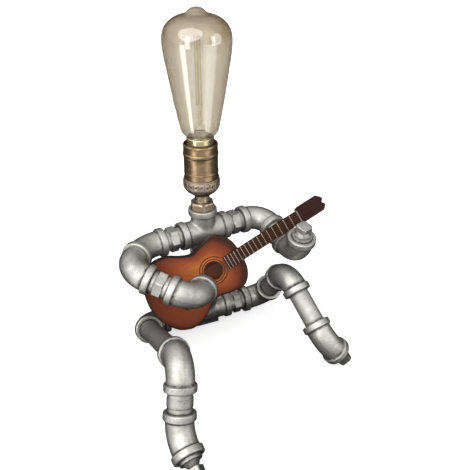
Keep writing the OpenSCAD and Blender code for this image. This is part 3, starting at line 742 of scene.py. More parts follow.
@dataclass
class Workshop:
    """Registers finished pieces with the frame and keeps their count."""

    pieces: int = 0

    def fit(self, piece: bpy.types.Object, material: bpy.types.Material, node: str) -> None:
        """Dress a piece, let it ride on its node's body and hide the node that it stands for.

        Args:
            piece: The finished mesh object.
            material: Its material.
            node: The solid that it replaces.
        """
        piece.data.materials.append(material)
        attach(piece, frame["nodes"][node]["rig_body"])
        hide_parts(node)
        self.pieces += 1
        LOG.info("%s: %d faces", piece.name, len(piece.data.polygons))

    def dress(self, node: str, material: bpy.types.Material) -> None:
        """Give a solid that stays visible its material.

        Args:
            node: The solid's name.
            material: Its material.
        """
        solid = frame["nodes"][node]
        for index in range(max(1, len(solid.material_slots))):
            if index < len(solid.material_slots):
                solid.material_slots[index].material = material
            else:
                solid.data.materials.append(material)
        LOG.info("%s: dressed", node)


SHOP = Workshop()


# ---------------------------------------------------------------- pipe fittings


@dataclass(frozen=True)
class FittingSizes:
    """Sizes of half-inch malleable fittings and pipe, in millimetres."""

    ctf: float = 28.0
    ctf45: float = 22.0
    band_r: float = 15.25
    band_w: float = 7.5
    body_r: float = 13.2
    bore_r: float = 10.5
    pass_r: float = 8.0
    pipe_r: float = 10.65
    thread_len: float = 13.0
    hex_af: float = 24.0
    hex_h: float = 9.5
    nipple_gap: float = 18.0
    plug_sq: float = 13.5
    street_arm: float = 24.0
    seat: float = 0.15
    seam_h: float = 0.16
    seam_w: float = 0.05
    lip: float = 0.9

    @property
    def male_r(self) -> float:
        """Outer radius of a thread that turns in a socket."""
        return self.bore_r - 0.05


@dataclass
class FittingShapes:
    """Makes the surface of each kind of fitting in its own axes."""

    size: FittingSizes = field(default_factory=FittingSizes)
    columns: int = 96
    blend: float = 0.7
    step: float = 1.6

    @property
    def run_r(self) -> float:
        """Radius of the run of a cross or tee."""
        return self.size.body_r + 0.3

    @property
    def post_r(self) -> float:
        """Radius of the post of a cross or tee."""
        return self.size.body_r - 0.3

    @property
    def ball_r(self) -> float:
        """Radius of the swollen centre of a cross or tee."""
        return self.size.body_r + 1.1

    def band_corners(self) -> list[tuple[float, float, float]]:
        """Half outline of a rolled band from its mouth to the body, as (distance, radius, corner radius)."""
        s = self.size
        return [
            (0.0, s.bore_r + s.lip, 0.25),
            (0.0, s.band_r - 0.15, 1.3),
            (s.band_w - 1.0, s.band_r, 1.1),
            (s.band_w, s.body_r, 0.9),
        ]

    def groove_at(self, distance: Array, radius: Array) -> Array:
        """Real dirt and painted shade behind the band, inside the mouth and, half as much, on its lip.

        Args:
            distance: Distances from the mouth.
            radius: Radii at those distances.

        Returns:
            Values from 0 to 1.
        """
        s = self.size
        behind = bump_at(distance, s.band_w + 0.2, 0.9)
        inside = (radius < s.bore_r + 0.7).astype(float)
        lip = bump_at(distance, 0.0, 0.5) * (radius < s.bore_r + 1.6)
        return np.clip(behind + inside + 0.5 * lip, 0, 1)

    def bent(self, path: BentPath, outline: Array, clear: float, groove: Array) -> Draft:
        """Carry an outline along a bent line, with a parting line on the body's rows.

        The parting line is a bell curve of the sine of the angle, so it runs along the spine and the throat.

        Args:
            path: Centre line.
            outline: Rows of (distance, radius).
            clear: Length behind the first band without the parting line.
            groove: Real dirt and painted shade of each row.

        Returns:
            A draft with the line's corner at its origin.
        """
        s = self.size
        away, radius = outline[:, 0], outline[:, 1]
        body = (radius > s.bore_r + 1.2) & (away > s.band_w + clear) & (away < path.length - s.band_w - 0.4)
        seam = bump_at(np.sin(around(self.columns)), 0.0, s.seam_w) * s.seam_h - s.seam_h / 2
        points = path.surface(away, radius[:, None] + body[:, None] * seam, self.columns)
        return Draft().grid(points, rows_closed=True, groove=groove[:, None])

    def far_end(self, length: float) -> list[tuple[float, float, float]]:
        """Outline of the second mouth: the band turned round, and the edge and seat of its bore.

        Args:
            length: Distance from the first mouth to the second.

        Returns:
            Corners as (distance, radius, corner radius).
        """
        s = self.size
        seat = length - s.thread_len - 1.0
        band = [(length - a, b, r) for a, b, r in reversed(self.band_corners())]
        return band + [(length - s.lip, s.bore_r, 0.1), (seat, s.bore_r, 0.1), (seat, s.pass_r, 0.1)]

    def elbow(self, angle: float, reach: float) -> Draft:
        """Elbow with a band at both mouths and a parting line along its spine and its throat.

        Args:
            angle: Turn of the elbow in degrees.
            reach: Corner to mouth.

        Returns:
            A draft with its corner at the origin.
        """
        s = self.size
        path = BentPath(reach, s.band_w, angle)
        length, depth = path.length, s.thread_len + 1.0
        ends = self.far_end(length)
        inner = [(depth, s.pass_r, 0.1), (depth, s.bore_r, 0.1), (s.lip, s.bore_r, 0.1)]
        if length < 2 * depth + 1:
            ends, inner = ends[:-2], inner[-1:]
        rows = refined(rounded(self.band_corners() + ends + inner), self.step)
        groove = np.maximum(self.groove_at(rows[:, 0], rows[:, 1]),
                            self.groove_at(length - rows[:, 0], rows[:, 1]))
        return self.bent(path, rows, 0.4, groove)

    def street_elbow(self) -> Draft:
        """Right-angled elbow whose first end is a thread with a plain collar behind it."""
        s = self.size
        path = BentPath(s.ctf, s.band_w, 90.0)
        first, collar = s.ctf - s.street_arm, s.body_r - 1.2
        start = [
            (first - s.thread_len, s.pass_r, 0.1), (first - s.thread_len, s.male_r - 0.8, 0.2),
            (first - s.thread_len + 0.9, s.male_r, 0.1), (first + s.seat, s.male_r, 0.05),
            (first + s.seat, collar, 0.4), (s.band_w - 0.2, collar, 0.5), (s.band_w + 0.6, s.body_r, 0.6),
        ]
        rows = refined(rounded(start + self.far_end(path.length)), self.step)
        # Real dirt and painted shade at the thread's root and where the collar meets the body, besides the
        # band's.
        groove = (self.groove_at(path.length - rows[:, 0], rows[:, 1]) + bump_at(rows[:, 0], first, 1.0)
                  + 0.7 * bump_at(rows[:, 0], s.band_w, 0.7))
        return self.bent(path, rows, 1.0, np.clip(groove, 0, 1))

    def flow(self, p: Array, lower: bool) -> Array:
        """Soft minimum of the distances to the run, the post and the centre ball of a cross or tee.

        It is minus the blend length times the logarithm of the sum of the exponentials of each distance over
        minus the blend length. A tee's post stops at the run's axis.

        Args:
            p: Points of shape (..., 3).
            lower: Whether the post goes on downwards.

        Returns:
            Distance of each point.
        """
        run = np.hypot(p[..., 1], p[..., 2]) - self.run_r
        below = 0.0 * p[..., 2] if lower else np.minimum(p[..., 2], 0.0)
        post = np.hypot(np.hypot(p[..., 0], p[..., 1]), below) - self.post_r
        ball = np.linalg.norm(p, axis=-1) - self.ball_r
        return -self.blend * np.log(sum(np.exp(-part / self.blend) for part in (run, post, ball)))

    def branch(self, lower: bool) -> Draft:
        """Cross, or tee without a lower mouth: tubes that flow into each other round a swollen centre.

        Each tube is a grid from its mouth to where it meets its neighbours, the height at which the
        distance along it equals its radius times the sine of the angle. Its rows past the band then slide
        down the slope of a soft minimum of the tubes' and the centre ball's distances until it is zero.

        Args:
            lower: Whether the mouth at -z is there.

        Returns:
            A draft centred on the origin.
        """
        s = self.size
        draft = Draft()
        theta = around(self.columns)
        seam_r = (self.run_r + self.post_r) / 2
        t = np.linspace(0, 1, 15)[1:, None]
        h = 1e-3  # step of the slope, in millimetres
        mouths = [(True, 1.0), (True, -1.0), (False, 1.0)] + ([(False, -1.0)] if lower else [])
        for on_run, sign in mouths:
            tube_r = self.run_r if on_run else self.post_r
            seat = s.ctf - s.thread_len
            head = rounded(
                [(seat, 0.0, 0.0), (seat, s.bore_r, 0.1), (s.ctf - s.lip, s.bore_r, 0.1)]
                + [(s.ctf - a, b if b > s.body_r else tube_r, r) for a, b, r in self.band_corners()]
                + [(s.ctf - s.band_w - 0.6, tube_r, 0.0)])
            free_side = on_run and not lower
            meets = seam_r * (np.clip(np.sin(theta), 0, 1) if free_side else np.abs(np.sin(theta)))
            tail = head[-1, 0] * (1 - t) + meets * t
            heights = np.vstack([np.repeat(head[:, :1], self.columns, 1), tail])
            radii = np.vstack([head[:, 1:], tube_r * (1 - t) + seam_r * t])
            a, b, up = radii * np.cos(theta), radii * np.sin(theta), sign * heights
            points = np.stack([up, a, b] if on_run else [b, a, up], -1)
            free = points[len(head):]
            for _ in range(8):
                slope = np.stack([self.flow(free + h * e, lower) - self.flow(free - h * e, lower)
                                  for e in np.eye(3)], -1) / (2 * h)
                steep = np.maximum((slope**2).sum(-1), 1e-6)
                free = free - slope * (self.flow(free, lower) / steep)[..., None]
            draft.grid(np.concatenate([points[: len(head)], free]),
                       groove=self.groove_at(s.ctf - heights, radii))
        return draft

    def nipple_rows(self, gap: float, middle: list[tuple[float, float, float]], bore: float) -> Array:
        """Outline of a nipple: thread, middle, thread and the bore back.

        Args:
            gap: Free length between the two mouths.
            middle: Corners between the two threads.
            bore: Radius of the bore.

        Returns:
            Rows of (height, radius).
        """
        s = self.size
        end = s.thread_len
        thread = [(-end, bore, 0.1), (-end, s.male_r - 0.8, 0.2), (-end + 0.8, s.male_r, 0.1),
                  (s.seat, s.male_r, 0.05)]
        other = [(gap - z, radius, corner) for z, radius, corner in reversed(thread)]
        return refined(rounded(thread + middle + other), 3.0)

    def hex_nipple(self) -> Draft:
        """Nipple with a chamfered hexagon between two round collars.

        Returns:
            A draft whose free length starts at the origin and runs along +z.
        """
        s = self.size
        gap, collar = s.nipple_gap, s.male_r + 0.75
        low, high = gap / 2 - s.hex_h / 2, gap / 2 + s.hex_h / 2
        corner = hex_corner(s.hex_af)
        half = [(s.seat, collar, 0.3), (low, collar, 0.2), (low, s.hex_af / 2 - 0.3, 0.05),
                (low + 0.85, corner, 0.2)]
        middle = half + [(gap - z, radius, ease) for z, radius, ease in reversed(half)]
        rows = self.nipple_rows(gap, middle, s.pass_r - 0.5)
        points = hexagonal(rows, s.hex_af, 0.25, collar + 0.02)
        # Real dirt and painted shade where the threads go into the fittings and round the hexagon's ends.
        groove = np.clip(bump_at(rows[:, 0], 0.0, 1.1) + bump_at(rows[:, 0], gap, 1.1)
                         + 0.6 * bump_at(rows[:, 0], low, 0.5) + 0.6 * bump_at(rows[:, 0], high, 0.5), 0, 1)
        return Draft().grid(points, rows_closed=True, groove=groove[:, None])

    def round_nipple(self, gap: float, kind: "NippleKind") -> Draft:
        """Plain pipe, or a barrel with two turned grooves.

        Args:
            gap: Free length between the two mouths.
            kind: Which of the two.

        Returns:
            A draft whose free length starts at the origin and runs along +z.
        """
        s = self.size
        if kind is NippleKind.PIPE:
            middle = [(s.seat, s.pipe_r, 0.2), (gap - s.seat, s.pipe_r, 0.2)]
            bore = s.pass_r - 0.3
        else:
            r = s.body_r - 1.2
            half = [(s.seat, r - 0.5, 0.2), (4.6, r - 0.5, 0.3), (5.2, r, 0.3)]
            middle = half + [(gap - z, radius, ease) for z, radius, ease in reversed(half)]
            bore = s.pass_r - 0.5
        rows = self.nipple_rows(gap, middle, bore)
        # Real dirt and painted shade where the threads go into the fittings, and in a barrel's turned
        # grooves.
        from_end = np.minimum(np.abs(rows[:, 0]), np.abs(gap - rows[:, 0]))
        groove = bump_at(from_end, 0.0, 1.4)
        if kind is NippleKind.BARREL:
            groove = groove + 0.6 * bump_at(from_end, 4.9, 0.5)
        return Draft().grid(lathe(rows, self.columns), rows_closed=True,
                            groove=np.clip(groove, 0, 1)[:, None])

    def plug(self) -> Draft:
        """Plug with a round flange and a square head whose corners are eased.

        Returns:
            A draft whose flange sits on z = 0.
        """
        s = self.size
        flange, foot, top = s.band_r - 4.2, 3.35, 14.5
        square = np.minimum(flats(around(self.columns), s.plug_sq, 4), s.plug_sq * 0.64)
        rows = rounded([
            (-s.thread_len + 1, 0.0, 0.0), (-s.thread_len + 1, s.male_r - 0.6, 0.2),
            (-s.thread_len + 1.8, s.male_r, 0.1), (0.1, s.male_r, 0.02), (0.1, flange, 0.4),
            (3.3, flange - 0.3, 0.8),
            (foot, s.plug_sq * 0.62, 0.2),
        ])[:-1]
        head = rounded([(foot, 1.0, 0.6), (top, 1.0, 1.0), (top, 0.0, 0.0)])
        head = head[head[:, 0] >= foot - TINY]
        soft = np.minimum(square, s.plug_sq * 0.64 - 0.9 * np.clip((head[:, 0:1] - top + 1.5) / 1.5, 0, 1))
        top_face = lathe(head * HEIGHT_ONLY, self.columns, head[:, 1:2] * soft)
        points = np.concatenate([lathe(rows, self.columns), top_face])
        height = points[:, 0, 2]
        # Real dirt and painted shade where the flange meets the fitting and round the foot of the square
        # head.
        groove = np.clip(bump_at(height, 0.0, 0.7) + 0.6 * bump_at(height, 3.3, 0.7), 0, 1)
        return Draft().grid(points, groove=groove[:, None])


class NippleKind(Enum):
    """Kinds of round nipple."""

    PIPE = "pipe"
    BARREL = "barrel"


@dataclass(frozen=True)
class Pose:
    """Lengths in millimetres and set angles in degrees of the figure at rest."""

    torso_len: float = 106.0
    thigh_r_gap: float = 98.0
    thigh_l_gap: float = 30.0
    shin_l_gap: float = 36.0
    hip_yaw: float = -7.0
    shoulder_r: float = 4.0
    elbow_r: float = -21.0
    wrist_r: float = 8.0
    shoulder_l: float = 13.0
    wrist_l: float = 1.0
    hip_l: float = -51.65
    knee_l: float = 10.0
    ankle_l: float = -144.0
    hip_r: float = 25.2
    knee_r: float = -12.0
    ankle_r: float = -17.0
    pad_t: float = 1.75


@dataclass
class PipeFigure:
    """The figure's body, arms and legs."""

    size: FittingSizes = field(default_factory=FittingSizes)
    pose: Pose = field(default_factory=Pose)
    shapes: FittingShapes = field(default_factory=FittingShapes)

    @property
    def chest(self) -> Array:
        """Centre of the chest cross."""
        return np.array([0.0, 0.0, self.pose.torso_len + self.size.band_r + self.pose.pad_t])

    def arm_right(self) -> dict[str, tuple[Draft, Placement]]:
        """Right shoulder to the open hand.

        Returns:
            Draft and placement of each node.
        """
        s, p = self.size, self.pose
        start = -AXIS_X
        bend = self.chest + start * (s.ctf + s.nipple_gap + s.ctf45)
        side = square_to(start, -AXIS_Y, p.shoulder_r)
        out = (start + side) / math.sqrt(2.0)
        street = bend + out * (s.ctf45 + s.street_arm)
        fore = square_to(out, AXIS_X, p.elbow_r)
        hand = street + fore * (2 * s.ctf + s.nipple_gap)
        grip = square_to(fore, AXIS_Y, p.wrist_r)
        return {
            "shoulder_nipple_r": (self.shapes.hex_nipple(),
                                  Placement(self.chest + start * s.ctf, start, AXIS_Z)),
            "upper_arm_bend_r": (self.shapes.elbow(45.0, s.ctf45), Placement(bend, start, side)),
            "street_elbow_r": (self.shapes.street_elbow(), Placement(street, out, fore)),
            "wrist_nipple_r": (self.shapes.hex_nipple(),
                               Placement(street + fore * s.ctf, fore, square_to(fore, AXIS_Z, 20))),
            "hand_elbow_r": (self.shapes.elbow(90.0, s.ctf), Placement(hand, fore, grip)),
        }

    def arm_left(self) -> dict[str, tuple[Draft, Placement]]:
        """Left shoulder to the plugged hand.

        Returns:
            Draft and placement of each node.
        """
        s, p = self.size, self.pose
        span = 2 * s.ctf + s.nipple_gap
        shoulder = self.chest + AXIS_X * span
        out = square_to(AXIS_X, -AXIS_Y, p.shoulder_l)
        hand = shoulder + out * span
        up = square_to(out, AXIS_Z, p.wrist_l)
        return {
            "shoulder_nipple_l": (self.shapes.hex_nipple(),
                                  Placement(self.chest + AXIS_X * s.ctf, AXIS_X, AXIS_Z)),
            "shoulder_elbow_l": (self.shapes.elbow(90.0, s.ctf), Placement(shoulder, AXIS_X, out)),
            "forearm_nipple_l": (self.shapes.hex_nipple(),
                                 Placement(shoulder + out * s.ctf, out, square_to(out, AXIS_Z, 30))),
            "hand_elbow_l": (self.shapes.elbow(90.0, s.ctf), Placement(hand, out, up)),
            "hand_plug_l": (self.shapes.plug(), Placement(hand + up * s.ctf, up, square_to(up, AXIS_X, 12))),
        }

    def leg(self, left: bool) -> dict[str, tuple[Draft, Placement]]:
        """One leg from its hip nipple to its toe plug.

        Args:
            left: Whether it is the figure's left leg.

        Returns:
            Draft and placement of each node.
        """
        s, p = self.size, self.pose
        tag = "l" if left else "r"
        across = turned(AXIS_X, AXIS_Z, p.hip_yaw) * (1.0 if left else -1.0)
        ahead = turned(-AXIS_Y, AXIS_Z, p.hip_yaw)
        hips = self.chest - AXIS_Z * p.torso_len
        thigh_gap = p.thigh_l_gap if left else p.thigh_r_gap
        shin_gap = p.shin_l_gap if left else s.nipple_gap
        hip = hips + across * (2 * s.ctf + s.nipple_gap)
        thigh = square_to(across, ahead, p.hip_l if left else p.hip_r)
        knee = hip + thigh * (2 * s.ctf + thigh_gap)
        shin = square_to(thigh, -AXIS_Z, p.knee_l if left else p.knee_r)
        ankle = knee + shin * (s.ctf + shin_gap + s.ctf45)
        side = square_to(shin, ahead, p.ankle_l if left else p.ankle_r)
        toe = (shin + side) / math.sqrt(2.0)
        shapes = self.shapes
        parts = {
            "hip_nipple_" + tag: (shapes.hex_nipple(), Placement(hips + across * s.ctf, across, AXIS_Z)),
            "hip_elbow_" + tag: (shapes.elbow(90.0, s.ctf), Placement(hip, across, thigh)),
            "thigh_pipe_" + tag: (shapes.round_nipple(thigh_gap, NippleKind.PIPE),
                                  Placement(hip + thigh * s.ctf, thigh, square_to(thigh, AXIS_X))),
            "knee_elbow_" + tag: (shapes.elbow(90.0, s.ctf), Placement(knee, thigh, shin)),
            "ankle_bend_" + tag: (shapes.elbow(45.0, s.ctf45), Placement(ankle, shin, side)),
            "toe_plug_" + tag: (shapes.plug(), Placement(ankle + toe * s.ctf45, toe,
                                                         square_to(toe, AXIS_X, 25 if left else 40))),
        }
        kind = NippleKind.PIPE if left else NippleKind.BARREL
        parts["shin_pipe_l" if left else "shin_nipple_r"] = (
            shapes.round_nipple(shin_gap, kind),
            Placement(knee + shin * s.ctf, shin, square_to(shin, AXIS_X)))
        return parts

    def trunk(self) -> dict[str, tuple[Draft, Placement]]:
        """Chest cross, torso pipe and hip tee.

        Returns:
            Draft and placement of each node.
        """
        s, p = self.size, self.pose
        hips = self.chest - AXIS_Z * p.torso_len
        yawed = turned(AXIS_X, AXIS_Z, p.hip_yaw)
        return {
            "chest_cross": (self.shapes.branch(True), Placement(self.chest, AXIS_Z, AXIS_X)),
            "torso_pipe": (self.shapes.round_nipple(p.torso_len - 2 * s.ctf, NippleKind.PIPE),
                           Placement(hips + AXIS_Z * s.ctf, AXIS_Z, AXIS_X)),
            "hip_tee": (self.shapes.branch(False), Placement(hips, AXIS_Z, yawed)),
        }

    def build(self) -> None:
        """Make, place and dress every fitting."""
        casting = Metal("cast_zinc", (0.72, 0.71, 0.66), (0.42, 0.412, 0.378), (0.022, 0.019, 0.015), 0.82,
                        (0.40, 0.54), grit=0.5, pits=0.4, edge_shade=0.85).build()
        # A darker, more contrasty copy of the cast zinc for the hip and toe pieces: wear, and painted shade
        # for the hips under the guitar.
        worn_and_shaded = Metal("worn_and_shaded_zinc", (0.74, 0.725, 0.665), (0.22, 0.21, 0.182), (0.018, 0.015, 0.011), 0.85,
                     (0.28, 0.44), patch_scale=110.0, grit=0.5, pits=0.6, edge_shade=0.9).build()
        drawn = Metal("drawn_zinc", (0.66, 0.65, 0.60), (0.44, 0.43, 0.395), (0.022, 0.019, 0.015), 0.6,
                      (0.50, 0.60), grit=0.25, pits=0.3, edge_shade=0.85).build()
        parts = {**self.trunk(), **self.arm_right(), **self.arm_left(), **self.leg(True), **self.leg(False)}
        for node, (draft, place) in parts.items():
            piece = draft.carried(place).mesh_object("lamp_" + node)
            pipe = "pipe" in node
            # Pipes get the drawn finish; the hip and toe pieces get the darker copy, whose dark tone is
            # partly painted shade.
            finish = drawn if pipe else worn_and_shaded if node.startswith(("hip_", "toe_")) else casting
            SHOP.fit(piece, finish, node)


# ---------------------------------------------------------------- lamp head


@dataclass
class LampHead:
    """Brass bushing and neck, and the bronze socket with its dimpled cap. Heights are above the chest."""

    chest: Array
    ctf: float = 28.0
    bush_af: float = 23.0
    bush_h: float = 7.8
    neck_r: float = 7.8
    neck_h: float = 7.5
    cap_r: float = 19.0
    dome_h: float = 15.0
    shell_r: float = 17.3
    shell_h: float = 42.0
    dimples: int = 20
    columns: int = 128
    neck_columns: int = 72

    @property
    def bush_z(self) -> float:
        """Underside of the bushing's hexagon."""
        return self.ctf + 0.2

    @property
    def neck_z(self) -> float:
        """Bottom of the brass neck."""
        return self.bush_z + self.bush_h + 0.15

    @property
    def cap_z(self) -> float:
        """Bottom of the socket cap."""
        return self.neck_z + self.neck_h

    @property
    def wide_z(self) -> float:
        """Top of the cap's dome."""
        return self.cap_z + self.dome_h

    @property
    def shell_top(self) -> float:
        """Rim of the shell."""
        return self.wide_z + self.shell_h

    def bushing(self) -> Draft:
        """Hexagon bushing: flats cut down by a chamfer on top."""
        low, high, corner = self.bush_z, self.bush_z + self.bush_h, hex_corner(self.bush_af)
        rows = refined(rounded([
            (self.ctf - 11, 5.2, 0.1), (self.ctf - 11, 10.45, 0.3), (low, 10.45, 0.05), (low, corner, 0.15),
            (high - 1.3, corner, 0.1), (high, self.bush_af / 2 - 0.4, 0.1), (high, 5.2, 0.2)]), 2.5)
        points = hexagonal(rows, self.bush_af, 0.2, 10.6, math.radians(22))
        # Real dirt and painted shade under the hexagon and in a ring round the neck on its top.
        groove = (0.8 * bump_at(rows[:, 0], low, 0.7)
                  + 0.5 * bump_at(rows[:, 1], 8.4, 0.8) * (rows[:, 0] > high - 0.4))
        return Draft().grid(points, rows_closed=True, groove=groove[:, None])

    def neck(self) -> Draft:
        """Neck tube: a plain collar between the bushing and the cap, and its narrower ends inside both."""
        rows = refined(rounded([
            (self.ctf - 12, 3.6, 0.1), (self.ctf - 12, 5.15, 0.2), (self.neck_z, 5.15, 0.05),
            (self.neck_z, self.neck_r, 0.4), (self.cap_z - 0.02, self.neck_r, 0.4),
            (self.cap_z - 0.02, 5.15, 0.05),
            (self.cap_z + 9, 5.15, 0.2), (self.cap_z + 9, 3.6, 0.1)]), 1.2)
        # Real dirt and painted shade where the neck meets the bushing and the cap.
        groove = 0.9 * bump_at(rows[:, 0], self.neck_z, 0.6) + 0.9 * bump_at(rows[:, 0], self.cap_z, 0.7)
        return Draft().grid(lathe(rows, self.neck_columns), rows_closed=True, groove=groove[:, None])

    def cap(self) -> Draft:
        """Domed cap with a band of pads, each with a punched dimple.

        The pads stand out where the sine of their count times the angle is high, and each dimple is a bell
        curve taken off at a pad's centre.

        Returns:
            A draft in the chest's axes.
        """
        c, w, r = self.cap_z, self.wide_z, self.cap_r
        outer = [
            (c + 0.05, 5.2, 0.1), (c + 0.05, self.neck_r + 0.4, 0.4), (c + 1.5, self.neck_r + 2.2, 1.0),
            (c + 3.3, r * 0.66, 2.0), (c + 5.8, r * 0.82, 2.0), (c + 8.3, r * 0.92, 0.8),
            (c + 9.2, r * 0.93, 0.3),
            (c + 9.6, r * 0.985, 0.2), (c + 10.6, r, 0.5), (w + 3.2, r, 0.4), (w + 3.9, r * 0.985, 0.2),
            (w + 4.2, r * 0.965, 0.2), (w + 5.4, r * 0.965, 0.3), (w + 5.4, self.shell_r + 0.1, 0.1),
            (w - 1.0, self.shell_r + 0.1, 0.1), (w - 2.5, r * 0.86, 0.3), (c + 9.6, r * 0.86, 0.5),
            (c + 6.6, r * 0.76, 0.5), (c + 4.4, r * 0.6, 0.5), (c + 3.0, r * 0.5, 0.3), (c + 3.0, 5.2, 0.1),
        ]
        rows = refined(rounded(outer), 0.45)
        columns = self.dimples * 18
        theta = around(columns)
        phase = np.abs((theta * self.dimples / (2 * math.pi)) % 1.0 - 0.5)
        middle = (c + 10.2 + w + 3.6) / 2
        half = (w + 3.6 - c - 10.2) / 2
        up = np.clip(1.15 - (np.abs(rows[:, 0] - middle) / (half * 0.86)) ** 6, 0, 1)[:, None]
        outside = (rows[:, 1:2] > r * 0.955) & (rows[:, 0:1] > c + 9.4) & (rows[:, 0:1] < w + 4.0)
        pad = np.clip(1.15 - (phase / 0.40) ** 8, 0, 1)[None] * up
        dimple = bump_at(phase, 0.0, 0.16)[None] * bump_at(rows[:, 0], middle + 0.3, 0.95)[:, None]
        extra = outside * (-0.38 * (1 - pad) - 0.7 * dimple)
        points = lathe(rows, columns, extra)
        height = rows[:, 0:1]
        # Painted shade: the dome under the band of pads is darkened in full, and so are the dimples and the
        # gaps between the pads; the creases get dirt and painted shade.
        lines = (0.9 * bump_at(height, c + 9.3, 0.35) + 0.6 * bump_at(height, w + 4.6, 0.5)
                 + 0.7 * bump_at(height, c + 0.3, 0.8) + 1.1 * np.clip((c + 9.6 - height) / 1.5, 0, 1))
        groove = np.clip(outside * (0.45 * (1 - pad) + 2.6 * dimple) + lines, 0, 1)
        return Draft().grid(points, rows_closed=True, groove=groove)

    def shell(self) -> Draft:
        """Thin shell with a rolled bead, a faint lower line, a curled rim and a release tab.

        The tab is a bump on the radius: a bell curve of the angle times a bell curve of the height.

        Returns:
            A draft in the chest's axes.
        """
        w, top, r = self.wide_z, self.shell_top, self.shell_r
        corners = [
            (w - 0.5, r - 0.9, 0.1), (w - 0.5, r, 0.1), (w + 11.5, r, 0.3), (w + 12.1, r + 0.35, 0.3),
            (w + 12.7, r, 0.3), (w + 28.5, r, 0.2), (w + 29.1, r - 0.5, 0.2), (w + 30.2, r + 0.55, 0.5),
            (w + 32.2, r + 0.55, 0.6), (w + 33.2, r, 0.5), (top - 3.0, r, 0.5), (top - 1.4, r + 0.3, 0.5),
            (top - 0.3, r - 0.2, 0.4), (top, r - 0.9, 0.3), (top - 0.4, r - 1.9, 0.3),
            (top - 1.1, r - 1.9, 0.2),
            (top - 1.1, r - 0.9, 0.1),
        ]
        rows = refined(rounded(corners), 0.8)
        theta = around(self.columns)
        outside = (rows[:, 1:2] > r - 0.6) & (rows[:, 0:1] > w + 5.6) & (rows[:, 0:1] < w + 20)
        turn = (theta + math.pi) % (2 * math.pi) - math.pi
        tab = bump_at(turn, 0.0, 0.26)[None] * np.clip(bump_at(rows[:, 0], w + 9.2, 4.2) * 1.3, 0, 1)[:, None]
        points = lathe(rows, self.columns, outside * tab * 1.75)
        # Painted shade: the bead, the faint lower line and the curled rim are darkened to keep their
        # highlights down, and so are the dip before the bead, the joint with the cap and the inside of the
        # rim; the creases also get dirt.
        groove = np.clip(bump_at(rows[:, 0], w + 29.0, 0.7) + 0.5 * bump_at(rows[:, 0], w + 12.4, 0.9)
                         + 0.45 * bump_at(rows[:, 0], w + 32.0, 1.6)
                         + 0.55 * bump_at(rows[:, 0], top - 0.8, 1.2)
                         + 0.8 * bump_at(rows[:, 0], w + 5.6, 0.7) + (rows[:, 1] < r - 0.85) * 0.6, 0, 1)
        return Draft().grid(points, rows_closed=True, groove=groove[:, None])

    def build(self) -> None:
        """Make, place and dress the head."""
        place = Placement(self.chest, AXIS_Z, AXIS_X)
        brass = Metal("brass", (0.76, 0.64, 0.47), (0.52, 0.41, 0.28), (0.035, 0.025, 0.015), 0.9,
                      (0.24, 0.34),
                      grit=0.04, pits=0.1, edge_shade=0.8).build()
        bronze = Metal("antique_bronze", (0.74, 0.53, 0.31), (0.22, 0.145, 0.075), (0.025, 0.018, 0.011), 0.9,
                       (0.28, 0.38), patch_scale=80.0, grit=0.05, edge_shade=0.85).build()
        cap_metal = Metal("dark_bronze", (0.80, 0.68, 0.55), (0.42, 0.34, 0.25), (0.02, 0.016, 0.012), 0.8,
                          (0.30, 0.44), patch_scale=150.0, grit=0.08, dirt_and_shade_strength=1.0,
                          edge_shade=0.95).build()
        for draft, name, sharp, finish, node, slot in (
            (self.bushing(), "brass_bushing", 38.0, brass, "neck_bushing", "brass"),
            (self.neck(), "brass_neck", 38.0, brass, "neck_tube", "brass"),
            (self.cap(), "socket_cap_dimpled", 50.0, cap_metal, "socket_cap", "bronze"),
            (self.shell(), "socket_shell_beaded", 50.0, bronze, "socket_shell", "bronze"),
        ):
            SHOP.fit(draft.carried(place).mesh_object(name, sharp), finish, node)
        board = Moulded("liner_board", (0.35, 0.28, 0.18), (0.25, 0.19, 0.12), 0.8).build()
        core = Moulded("core_plastic", (0.06, 0.05, 0.045), (0.03, 0.027, 0.025), 0.4).build()
        wire = Moulded("wire_cover", (0.6, 0.45, 0.15), (0.5, 0.36, 0.1), 0.5).build()
        for node, finish in (("socket_liner", board), ("socket_core", core), ("screw_shell", brass),
                             ("centre_contact", brass), ("lead_wires", wire)):
            SHOP.dress(node, finish)


# ---------------------------------------------------------------- bulb


